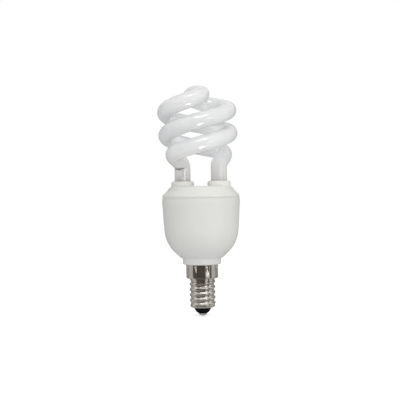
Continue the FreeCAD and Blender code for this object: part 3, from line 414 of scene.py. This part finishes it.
def coated_glass(colours):
    """Clear gloss glass over a soft white coating that is thinner here and there, with painted shade
    darkening it towards the sockets.
    """
    finish = Finish(
        "coated glass", Coat_Weight=1.0, Coat_Roughness=0.1, Coat_IOR=1.5, Specular_IOR_Level=0.0,
        Subsurface_Weight=0.9, Subsurface_Scale=0.010, Subsurface_Radius=(1.0, 1.0, 1.0),
    )
    cloud = finish.graded(finish.noise(per_metre=85.0), low=0.38, high=0.66)
    powder = finish.noise(per_metre=2600.0, detail=2.0)
    spread = finish.mixed(cloud, colours.coating_thin, colours.coating)
    # Painted shade: the coating grows darker over the legs towards the sockets
    low = finish.graded(finish.height(), low=socket_top + LEG_SHADE_TOP, high=socket_top)
    finish.feed(
        Base_Color=finish.mixed(low, spread, colours.coating_painted_shade),
        Roughness=0.42 + powder * 0.12,
    )
    finish.bumped(finish.noise(per_metre=170.0, detail=1.0), depth_mm=0.05, strength=0.5)
    return finish.material


def moulded_plastic(name, main, grain_depth_mm):
    """White moulded plastic with a fine spark grain and a faint change of tone."""
    finish = Finish(name, IOR=1.46)
    tone = finish.graded(finish.noise(per_metre=42.0, detail=2.0), low=0.35, high=0.68)
    grain = finish.noise(per_metre=3800.0, detail=2.0, roughness=0.6)
    warm = [part * left for part, left in zip(main, WARMER)]
    finish.feed(
        Base_Color=finish.mixed(tone, main, warm),
        Roughness=0.36 + grain * 0.10,
    )
    finish.bumped(grain, grain_depth_mm, strength=0.6)
    return finish.material


def nickel_sheet(colours):
    """Bright nickel plate with rolling lines round it and dull spots."""
    finish = Finish("nickel plate", Metallic=1.0)
    rolled = finish.stretched(0.25, 0.25, 6.0)
    lines = finish.noise(per_metre=900.0, roughness=0.6, place=rolled)
    spots = finish.noise(per_metre=420.0, detail=4.0, roughness=0.6)
    dull = finish.graded(spots, low=0.48, high=0.72)
    finish.feed(
        Base_Color=finish.mixed(dull * 0.55, colours.nickel, colours.nickel_dull),
        Roughness=0.12 + lines * 0.07 + dull * 0.10,
    )
    finish.bumped(lines, depth_mm=0.012, strength=0.35)
    return finish.material


def pressed_black_glass(colours):
    """Black glass, glossy, with the slight waves of a pressed piece."""
    finish = Finish("black glass", Specular_IOR_Level=0.02)
    wave = finish.noise(per_metre=380.0, detail=2.0)
    finish.feed(
        Base_Color=finish.mixed(wave, colours.black_glass, colours.black_glass_pale),
        Roughness=0.10 + wave * 0.10,
    )
    finish.bumped(wave, depth_mm=0.03, strength=0.5)
    return finish.material


def tinned_contact(colours):
    """Dull tinned metal with rub marks."""
    finish = Finish("tinned contact", Metallic=0.7)
    rub = finish.noise(per_metre=900.0, detail=4.0, roughness=0.65)
    blotch = finish.graded(rub, low=0.4, high=0.66)
    finish.feed(
        Base_Color=finish.mixed(blotch, colours.contact, colours.contact_rubbed),
        Roughness=0.30 + blotch * 0.22,
    )
    finish.bumped(blotch, depth_mm=0.02, strength=0.4)
    return finish.material


def grained(name, main, other, per_metre, roughness, metallic, depth_mm):
    """A finish for a hidden part: two tones in a grain, with relief to match."""
    finish = Finish(name, Metallic=metallic)
    grain = finish.noise(per_metre, roughness=0.6)
    finish.feed(
        Base_Color=finish.mixed(finish.graded(grain, low=0.36, high=0.66), main, other),
        Roughness=roughness + grain * 0.12,
    )
    finish.bumped(grain, depth_mm, strength=0.5)
    return finish.material


# For each slot of the parts inside: the finish's name, its two tones, its grains to the metre, its
# roughness, its share of metal and the depth of its grain in millimetres
INNER_FINISHES = {
    "cement": ("cement", (0.70, 0.68, 0.62), (0.60, 0.57, 0.50), 2200.0, 0.80, 0.0, 0.06),
    "board": ("paper laminate", (0.50, 0.36, 0.18), (0.42, 0.29, 0.14), 700.0, 0.62, 0.0, 0.02),
    "ferrite": ("ferrite", (0.055, 0.055, 0.058), (0.085, 0.083, 0.08), 1600.0, 0.55, 0.0, 0.03),
    "bobbin": ("bobbin plastic", (0.03, 0.03, 0.03), (0.045, 0.045, 0.045), 1500.0, 0.45, 0.0, 0.02),
    "copper_wire": ("enamelled copper", (0.60, 0.26, 0.10), (0.44, 0.16, 0.06), 900.0, 0.26, 0.9, 0.02),
    "capacitor_can": ("shrink sleeve", (0.02, 0.03, 0.09), (0.03, 0.04, 0.12), 500.0, 0.32, 0.0, 0.02),
    "epoxy_black": ("moulded epoxy", (0.02, 0.02, 0.021), (0.035, 0.034, 0.033), 2400.0, 0.58, 0.0, 0.03),
    "film_capacitor": ("dipped film", (0.50, 0.10, 0.03), (0.40, 0.07, 0.02), 600.0, 0.30, 0.0, 0.02),
    "resistor_body": ("resistor paint", (0.50, 0.42, 0.26), (0.42, 0.34, 0.20), 1400.0, 0.46, 0.0, 0.02),
    "diode_glass": ("diode body", (0.42, 0.16, 0.08), (0.30, 0.10, 0.05), 900.0, 0.15, 0.0, 0.01),
    "lead_wire": ("tinned lead", (0.66, 0.65, 0.63), (0.52, 0.50, 0.47), 1800.0, 0.30, 1.0, 0.01),
    "sleeve_red": ("red sleeve", (0.45, 0.03, 0.02), (0.36, 0.02, 0.02), 1200.0, 0.48, 0.0, 0.01),
    "sleeve_black": ("black sleeve", (0.02, 0.02, 0.02), (0.032, 0.03, 0.03), 1200.0, 0.48, 0.0, 0.01),
}


def new_object(name, made, material):
    """Turns a bmesh into an object of one material."""
    mesh = bpy.data.meshes.new(name)
    made.to_mesh(mesh)
    made.free()
    mesh.materials.append(material)
    item = bpy.data.objects.new(name, mesh)
    bpy.context.scene.collection.objects.link(item)
    return item


def new_piece(name, made, material, node):
    """Turns a bmesh into a finished piece that stands for a node of the solids."""
    piece = new_object(name, made, material)
    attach(piece, "root")
    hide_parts(node)
    return piece


def smoothed(piece, over_degrees):
    """Shades a piece smooth, with edges over the given angle kept crisp."""
    for polygon in piece.data.polygons:
        polygon.use_smooth = True
    piece.data.set_sharp_from_angle(angle=math.radians(over_degrees))


def merged_copy(node):
    """A bmesh of a node's own surface with its loose triangles joined."""
    made = bmesh.new()
    made.from_mesh(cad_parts[node].data)
    bmesh.ops.remove_doubles(made, verts=made.verts, dist=SOLID_MERGE)
    bmesh.ops.recalc_face_normals(made, faces=made.faces)
    return made


def arc_from(start, heading, end, steps):
    """Points on the arc that leaves start along heading and ends at end, start left out."""
    chord = Vector(end) - Vector(start)
    turn = math.atan2(chord.y, chord.x) - math.atan2(heading[1], heading[0])
    radius = chord.length / (2 * math.sin(turn))
    side = Vector((-heading[1], heading[0])).normalized() * radius
    centre = Vector(start) + side
    points = []
    for step in range(1, steps + 1):
        spoke = -side
        spoke.rotate(Matrix.Rotation(2 * turn * step / steps, 2))
        points.append(tuple(centre + spoke))
    return points


def bulged_heading(start, end, bulge):
    """The direction in which an arc leaves start, when its middle stands off the chord by bulge."""
    chord = Vector(end) - Vector(start)
    chord.rotate(Matrix.Rotation(-2 * math.atan2(2 * bulge, chord.length), 2))
    return tuple(chord)


def turned_bmesh(profile, sides, closed):
    """A profile of radii and heights, spun round the bulb's axis."""
    made = bmesh.new()
    points = [made.verts.new((radius, 0, height)) for radius, height in profile]
    ends = points[1:] + points[:1] if closed else points[1:]
    edges = [made.edges.new(pair) for pair in zip(points, ends)]
    bmesh.ops.spin(
        made, geom=points + edges, cent=(0, 0, 0), axis=(0, 0, 1), angle=FULL_TURN,
        steps=sides, use_merge=True, use_duplicate=False,
    )
    bmesh.ops.remove_doubles(made, verts=made.verts, dist=TURNED_MERGE)
    bmesh.ops.recalc_face_normals(made, faces=made.faces)
    return made


def rounded_edges(made, offset, over_degrees):
    """Rounds the edges at which a shape turns by more than the given angle."""
    limit = math.radians(over_degrees)
    crisp = [
        edge for edge in made.edges
        if len(edge.link_faces) == 2 and edge.calc_face_angle(0) > limit
    ]
    bmesh.ops.bevel(
        made, geom=crisp, offset=offset, offset_type="OFFSET", segments=2, profile=0.5,
        affect="EDGES", material=-1, clamp_overlap=True,
    )


def housing_bmesh(sizes):
    """The bowl with its neck, band and lip, and the ribs that carry the board."""
    spigot = sizes.skirt_radius - sizes.spigot_inset
    bore = spigot - sizes.spigot_wall
    neck = sizes.skirt_radius + sizes.neck_step
    neck_top = sizes.skirt_top + sizes.neck_height
    ledge = (neck + sizes.ledge_step, neck_top)
    cone = (sizes.band_radius - sizes.cone_inset, neck_top + sizes.cone_height)
    bowl = (sizes.band_radius - sizes.bowl_inset, cone[1] + sizes.bowl_height)
    wall = (sizes.band_radius - sizes.wall_inset, bowl[1] + sizes.wall_height)
    band_top = sizes.seam - sizes.lip_height
    lip = sizes.band_radius - sizes.lip_inset
    mouth = sizes.band_radius - sizes.mouth_inset
    outside = [
        (spigot, sizes.spigot_bottom),
        (spigot, sizes.skirt_top),
        (neck - sizes.neck_chamfer, sizes.skirt_top),
        (neck, sizes.skirt_top + sizes.neck_chamfer),
        (neck, neck_top),
        ledge,
        cone,
    ]
    outside += arc_from(cone, (cone[0] - ledge[0], cone[1] - ledge[1]), bowl, sizes.bowl_steps)
    outside += [
        wall,
        (sizes.band_radius, wall[1] + sizes.band_ease),
        (sizes.band_radius, band_top),
        (lip, band_top + sizes.wall_inset),
        (lip, sizes.seam),
    ]
    inner_bowl = (bowl[0] - sizes.wall, bowl[1])
    inner_cone = (cone[0] - CONE_TOP_IN * sizes.wall, cone[1] + CONE_TOP_UP * sizes.wall)
    inside = [
        (mouth, sizes.seam),
        (mouth, sizes.board_bottom),
        (wall[0] - sizes.wall, wall[1]),
        inner_bowl,
    ]
    inside += arc_from(inner_bowl, (0, -1), inner_cone, sizes.bowl_steps // 2)
    inside += [(bore, sizes.skirt_top + sizes.wall), (bore, sizes.spigot_bottom)]
    made = turned_bmesh(outside + inside, sizes.sides, closed=True)
    rounded_edges(made, sizes.edge_round, over_degrees=22)
    add_ribs(made, sizes, bowl[0] - sizes.wall / 2)
    return made


def add_ribs(made, sizes, outer):
    """Upright ribs from the wall inwards, with flat tops at the board."""
    inner = sizes.board_radius - sizes.rib_reach
    size = (outer - inner, sizes.rib_thickness, sizes.rib_height)
    middle = ((outer + inner) / 2, 0, sizes.board_bottom - sizes.rib_height / 2)
    for rib in range(sizes.ribs):
        turn = Matrix.Rotation(sizes.rib_turn + FULL_TURN * rib / sizes.ribs, 4, "Z")
        place = turn @ Matrix.Translation(middle) @ Matrix.Diagonal((*size, 1))
        bmesh.ops.create_cube(made, size=1.0, matrix=place)


def insulator_bmesh(sizes):
    """The black glass cone with the flange that holds it in the shell."""
    bore = sizes.shank_radius + sizes.play
    foot = (sizes.contact_radius, sizes.contact_rim)
    cone = (sizes.cone_radius, sizes.contact_rim + sizes.cone_height)
    neck_top = cone[1] + sizes.neck_height
    slope_top = neck_top + (sizes.flange_radius - sizes.neck_radius) / 2
    recess = sizes.flange_radius - sizes.flange_wall
    profile = [(bore, sizes.contact_rim), foot]
    profile += arc_from(foot, bulged_heading(foot, cone, sizes.bulge), cone, sizes.dome_steps)
    profile += [
        (sizes.neck_radius, cone[1]),
        (sizes.neck_radius, neck_top),
        (sizes.flange_radius, slope_top),
        (sizes.flange_radius, sizes.flange_top),
        (recess, sizes.flange_top),
        (recess, sizes.flange_top - sizes.flange_wall),
        (bore, sizes.flange_top - sizes.flange_wall),
    ]
    made = turned_bmesh(profile, sizes.sides, closed=True)
    rounded_edges(made, sizes.edge_round, over_degrees=22)
    return made


def contact_bmesh(sizes):
    """The domed contact with its shank."""
    flat = (sizes.flat_radius, 0.0)
    rim = (sizes.contact_radius, sizes.contact_rim)
    profile = [(0.0, 0.0), flat] + arc_from(flat, (1, 0), rim, sizes.dome_steps)
    profile += [
        (sizes.shank_radius, sizes.contact_rim),
        (sizes.shank_radius, sizes.shank_top),
        (0.0, sizes.shank_top),
    ]
    made = turned_bmesh(profile, sizes.sides, closed=False)
    rounded_edges(made, sizes.edge_round / 2, over_degrees=40)
    return made


def leaned(point, sizes):
    """A point of the upright spiral, tilted and shifted onto its legs."""
    turned = Matrix.Rotation(-sizes.lean, 3, "Y") @ point
    return turned + Vector((sizes.shift, 0.0, sizes.socket_top))


def climb(turned, sizes):
    """How far a strand comes down over a turn from the crown."""
    level = sizes.crown_rounding
    return sizes.pitch * (math.hypot(turned, level) - level) / FULL_TURN


def spiral_point(turned, side, sizes):
    """A point on a strand's centre line; side is 1 or -1."""
    around = sizes.top_angle - turned + (0.0 if side > 0 else math.pi)
    share = min(turned / sizes.crown_sweep, 1.0)
    reach = sizes.coil_radius * math.sin(math.pi / 2 * share) ** sizes.crown_power
    bump = sizes.crown_drop * (1 + math.cos(math.pi * share)) / 2
    height = sizes.rise + climb(sizes.strand_turn, sizes) - climb(turned, sizes) + bump
    flat = Vector((reach * math.cos(around), reach * math.sin(around), height))
    return leaned(flat, sizes)


def strand_line(side, sizes):
    """The centre line of one strand from the crown down to the end of its leg."""
    first = 0.0 if side > 0 else sizes.strand_turn / sizes.coil_steps
    count = sizes.coil_steps + (1 if side > 0 else 0)
    line = [
        spiral_point(first + sizes.strand_turn * step / sizes.coil_steps, side, sizes)
        for step in range(count)
    ]
    before = spiral_point(sizes.strand_turn * NEAR_STRAND_END, side, sizes)
    low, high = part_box("tube_cement_left" if side > 0 else "tube_cement_right")
    foot = (low + high) / 2
    foot.z = sizes.socket_top + sizes.leg_straight
    outward = (line[-1] - before).normalized() * sizes.coil_handle
    corners = (line[-1], line[-1] + outward, foot + Vector((0, 0, sizes.leg_handle)), foot)
    for step in range(1, sizes.bend_steps + 1):
        line.append(on_bend(corners, step / sizes.bend_steps))
    end = Vector((foot.x, foot.y, sizes.leg_end))
    for step in range(1, sizes.leg_steps + 1):
        line.append(foot.lerp(end, step / sizes.leg_steps))
    return line


def on_bend(corners, share):
    """A point on the bend between four corners."""
    rest = 1 - share
    start, pull, push, end = corners
    return (start * rest ** 3 + pull * 3 * rest ** 2 * share
            + push * 3 * rest * share ** 2 + end * share ** 3)


def evened(line, step):
    """The line again with its points a step apart."""
    spaced = [line[0]]
    left = step
    for start, end in zip(line, line[1:]):
        run = (end - start).length
        done = 0.0
        while run - done >= left:
            done += left
            spaced.append(start.lerp(end, done / run))
            left = step
        left -= run - done
    if (spaced[-1] - line[-1]).length < step / 2:
        spaced.pop()
    spaced.append(line[-1])
    return spaced


def glass_bmesh(sizes):
    """One ring of glass carried along the whole centre line from leg to leg."""
    left = strand_line(1, sizes)
    right = strand_line(-1, sizes)
    line = evened(list(reversed(left)) + right, sizes.step)
    made = bmesh.new()
    direction = (line[1] - line[0]).normalized()
    turn = Vector((0, 0, 1)).rotation_difference(direction)
    bmesh.ops.create_circle(
        made, cap_ends=False, segments=sizes.sides, radius=sizes.tube_radius,
        matrix=Matrix.Translation(line[0]) @ turn.to_matrix().to_4x4(),
    )
    edges = list(made.edges)
    bmesh.ops.contextual_create(made, geom=edges)
    for place in range(1, len(line)):
        before = line[place] - line[place - 1]
        after = line[min(place + 1, len(line) - 1)] - line[place]
        if after.length == 0:
            after = before
        heading = (before.normalized() + after.normalized()).normalized()
        grown = bmesh.ops.extrude_edge_only(made, edges=edges)["geom"]
        ring = [item for item in grown if isinstance(item, bmesh.types.BMVert)]
        edges = [item for item in grown if isinstance(item, bmesh.types.BMEdge)]
        swing = direction.rotation_difference(heading).to_matrix().to_4x4()
        carry = Matrix.Translation(line[place]) @ swing @ Matrix.Translation(-line[place - 1])
        bmesh.ops.transform(made, matrix=carry, verts=ring)
        direction = heading
    bmesh.ops.contextual_create(made, geom=edges)
    bmesh.ops.recalc_face_normals(made, faces=made.faces)
    limit = math.radians(RIM_ANGLE)
    rims = [edge for edge in made.edges if edge.calc_face_angle(0) > limit]
    bmesh.ops.bevel(
        made, geom=rims, offset=sizes.end_round, offset_type="OFFSET", segments=4, profile=0.5,
        affect="EDGES", material=-1, clamp_overlap=True,
    )
    return made


class BULB_OT_glass_spiral(bpy.types.Operator):
    """Makes the smooth glass spiral"""

    bl_idname = "bulb.glass_spiral"
    bl_label = "Glass spiral"

    def execute(self, context):
        sizes = context.scene.bulb_glass
        glass = coated_glass(context.scene.bulb_colours)
        piece = new_piece("glass_spiral", glass_bmesh(sizes), glass, "spiral_tube")
        smoothed(piece, RIM_ANGLE)
        return {"FINISHED"}


class BULB_OT_plastic_body(bpy.types.Operator):
    """Makes the housing and the cover with its two sockets"""

    bl_idname = "bulb.plastic_body"
    bl_label = "Housing and cover"

    def execute(self, context):
        colours = context.scene.bulb_colours
        white = moulded_plastic("housing plastic", colours.housing, grain_depth_mm=0.012)
        pale = moulded_plastic("cover plastic", colours.cover, grain_depth_mm=0.010)
        shape = housing_bmesh(context.scene.bulb_housing)
        housing = new_piece("lamp_housing", shape, white, "housing")
        cover = new_piece("leg_cover", merged_copy("tube_cover"), pale, "tube_cover")
        smoothed(housing, over_degrees=28)
        smoothed(cover, over_degrees=28)
        return {"FINISHED"}


class BULB_OT_screw_cap(bpy.types.Operator):
    """Makes the screw shell, the black insulator and the contact"""

    bl_idname = "bulb.screw_cap"
    bl_label = "Screw cap"

    def execute(self, context):
        colours = context.scene.bulb_colours
        sizes = context.scene.bulb_cap
        nickel = nickel_sheet(colours)
        black = pressed_black_glass(colours)
        tin = tinned_contact(colours)
        pieces = (
            new_piece("rolled_shell", merged_copy("screw_shell"), nickel, "screw_shell"),
            new_piece("glass_insulator", insulator_bmesh(sizes), black, "base_insulator"),
            new_piece("end_contact", contact_bmesh(sizes), tin, "centre_contact"),
        )
        for piece in pieces:
            smoothed(piece, over_degrees=40)
        return {"FINISHED"}


class BULB_OT_inner_parts(bpy.types.Operator):
    """Gives each part inside the housing its own finish"""

    bl_idname = "bulb.inner_parts"
    bl_label = "Parts inside"

    def execute(self, context):
        finishes = {slot: grained(*values) for slot, values in INNER_FINISHES.items()}
        for owner, slot in inner_owners():
            for place in owner.material_slots:
                place.material = finishes[slot]
        return {"FINISHED"}


def inner_owners():
    """The objects of the nodes that keep their own surface, with the slot that each has."""
    owners = []
    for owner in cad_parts.values():
        names = [place.material.name for place in owner.material_slots if place.material]
        found = [slot for slot in INNER_FINISHES if any(name.startswith(slot) for name in names)]
        if found:
            owners.append((owner, found[0]))
    return owners


class BULB_OT_studio(bpy.types.Operator):
    """Sets up the floor, the white room, the lamps and the camera"""

    bl_idname = "bulb.studio"
    bl_label = "Studio"

    def execute(self, context):
        studio = context.scene.bulb_studio
        context.scene.view_settings.view_transform = "Standard"
        white_room(context.scene, studio)
        pale_floor(studio)
        for row in SOFT_LAMPS:
            soft_lamp(*row).visible_glossy = False
        # The fill lamp shows in gloss too
        soft_lamp(*FILL_LAMP)
        for row, piece in GLEAMS:
            gleam(soft_lamp(*row), piece)
        table_gleam()
        light_in_the_spiral()
        paper_ring(studio, "dark paper", DARK_ARCS, (studio.dark, studio.dark_other))
        paper_ring(studio, "grey paper", GREY_ARCS, (studio.grey, studio.grey_other))
        take_camera(context.scene, studio)
        return {"FINISHED"}


def white_room(scene, studio):
    """A room that is white to the camera and in gloss, and lights the bulb at a plain level."""
    scene.world = bpy.data.worlds.new("white room")
    room = Shader(scene.world)
    camera_ray = room.node("ShaderNodeLightPath", output="Is Camera Ray")
    gloss_ray = room.node("ShaderNodeLightPath", output="Is Glossy Ray")
    clear_ray = room.node("ShaderNodeLightPath", output="Is Transmission Ray")
    seen = room.maths("MINIMUM", camera_ray + gloss_ray + clear_ray, 1.0)
    strength = seen * (1 - studio.sky_strength) + studio.sky_strength
    sockets = {"Color": shade(WHITE), "Strength": strength}
    room.end("ShaderNodeOutputWorld", room.node("ShaderNodeBackground", sockets=sockets))


def pale_floor(studio):
    """A round white floor under the bulb that keeps its shadow."""
    made = bmesh.new()
    bmesh.ops.create_circle(
        made, cap_ends=True, segments=studio.floor_sides, radius=studio.floor_radius,
    )
    finish = Finish(
        "floor paper", Roughness=0.9, Specular_IOR_Level=0.0, Emission_Strength=studio.floor_glow,
    )
    camera_ray = finish.node("ShaderNodeLightPath", output="Is Camera Ray")
    finish.feed(
        Base_Color=finish.mixed(finish.noise(per_metre=6.0), studio.floor, studio.floor_other),
        Emission_Color=finish.mixed(camera_ray, BLACK, WHITE),
    )
    new_object("pale floor", made, finish.material)


def paper_ring(studio, name, arcs, tones):
    """Paper round the bulb that only gloss sees, so that metal and glass have something to show."""
    finish = Finish(name, Roughness=0.9, Specular_IOR_Level=0.0)
    finish.feed(Base_Color=finish.mixed(finish.noise(per_metre=9.0), *tones))
    for number, (start, sweep) in enumerate(arcs, 1):
        made = bmesh.new()
        turn = math.radians(start - 90)
        outward = Vector((math.cos(turn), math.sin(turn), 0))
        up = Vector((0, 0, 1))
        corners = (
            outward * studio.mat_inner + up * studio.mat_height,
            outward * studio.card_distance + up * studio.mat_height,
            outward * studio.card_distance + up * studio.card_top,
        )
        points = [made.verts.new(corner) for corner in corners]
        edges = [made.edges.new(pair) for pair in zip(points, points[1:])]
        bmesh.ops.spin(
            made, geom=points + edges, cent=(0, 0, 0), axis=(0, 0, 1), angle=math.radians(sweep),
            steps=studio.card_steps, use_duplicate=False,
        )
        card = new_object("%s %d" % (name, number), made, finish.material)
        card.visible_camera = False
        card.visible_diffuse = False
        card.visible_shadow = False
        card.visible_transmission = False


def soft_lamp(name, bearing, elevation, size, watts, away_by=LAMP_DISTANCE):
    """A soft lamp at a bearing from the bulb's front, aimed at the foot of the spiral."""
    lamp = bpy.data.lights.new(name, "AREA")
    lamp.shape = "RECTANGLE"
    lamp.size, lamp.size_y = size
    lamp.energy = watts
    holder = bpy.data.objects.new(name, lamp)
    bpy.context.scene.collection.objects.link(holder)
    side = math.radians(bearing)
    up = math.radians(elevation)
    away = Vector((math.sin(side) * math.cos(up), -math.cos(side) * math.cos(up), math.sin(up)))
    holder.location = LAMP_AIM + away * away_by
    holder.rotation_mode = "QUATERNION"
    holder.rotation_quaternion = away.to_track_quat("Z", "Y")
    return holder


def gleam(holder, name):
    """Limits a lamp to the gloss of one piece."""
    lit = bpy.data.collections.new(holder.name)
    lit.objects.link(bpy.data.objects[name])
    holder.light_linking.receiver_collection = lit
    holder.visible_diffuse = False


def table_gleam():
    """A bright patch of the table in front of the bulb that only the glass reflects."""
    patch = soft_lamp(*TABLE_GLEAM, away_by=TABLE_GLEAM_DISTANCE)
    patch.rotation_quaternion = FACING_UP
    patch.visible_camera = False
    gleam(patch, "glass_spiral")


def light_in_the_spiral():
    """A weak light on the axis, for what the thin coating lets through to the strands behind."""
    lamp = bpy.data.lights.new("light in the spiral", "POINT")
    lamp.shadow_soft_size = INNER_LIGHT_RADIUS
    lamp.energy = INNER_LIGHT_WATTS
    holder = bpy.data.objects.new(lamp.name, lamp)
    bpy.context.scene.collection.objects.link(holder)
    holder.location = (0, 0, INNER_LIGHT_HEIGHT)
    holder.visible_camera = False
    holder.visible_glossy = False


def take_camera(scene, studio):
    """The camera at the photograph's viewing angle."""
    camera = bpy.data.cameras.new("camera")
    camera.sensor_fit = "AUTO"
    camera.angle = 2 * math.atan(studio.view_width / 2 / studio.distance)
    camera.clip_start = studio.near
    camera.clip_end = studio.far
    holder = bpy.data.objects.new("camera", camera)
    scene.collection.objects.link(holder)
    right = Vector((math.cos(studio.roll), 0, -math.sin(studio.roll)))
    level_up = Vector((math.sin(studio.roll), 0, math.cos(studio.roll)))
    away = Vector((0, 1, 0))
    up = level_up * math.cos(studio.elevation) + away * math.sin(studio.elevation)
    back = level_up * math.sin(studio.elevation) - away * math.cos(studio.elevation)
    aim = Vector((studio.aim_side, 0, studio.aim_height))
    turned = Matrix((right, up, back)).transposed().to_4x4()
    holder.matrix_world = Matrix.Translation(aim + back * studio.distance) @ turned
    scene.camera = holder


class BULB_PT_sidebar(bpy.types.Panel):
    """Lists the steps that dress the bulb"""

    bl_label = "Spiral bulb"
    bl_space_type = "VIEW_3D"
    bl_region_type = "UI"
    bl_category = "Bulb"

    def draw(self, context):
        for step in STEPS:
            self.layout.operator(step.bl_idname)


STEPS = (
    BULB_OT_glass_spiral,
    BULB_OT_plastic_body,
    BULB_OT_screw_cap,
    BULB_OT_inner_parts,
    BULB_OT_studio,
)
GROUPS = {
    "bulb_glass": GlassTubeSizes,
    "bulb_housing": HousingSizes,
    "bulb_cap": CapSizes,
    "bulb_colours": FinishColours,
    "bulb_studio": StudioSizes,
}
CLASSES = tuple(GROUPS.values()) + STEPS + (BULB_PT_sidebar,)


def register():
    """Adds the sizes, the steps and the sidebar to Blender."""
    for item in CLASSES:
        bpy.utils.register_class(item)
    for name, group in GROUPS.items():
        setattr(bpy.types.Scene, name, PointerProperty(type=group))


def unregister():
    """Takes them out again."""
    for name in GROUPS:
        delattr(bpy.types.Scene, name)
    for item in reversed(CLASSES):
        bpy.utils.unregister_class(item)


def main():
    """Runs each step in turn."""
    register()
    for step in STEPS:
        family, name = step.bl_idname.split(".")
        getattr(getattr(bpy.ops, family), name)()
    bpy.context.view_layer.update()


if __name__ == "__main__":
    main()
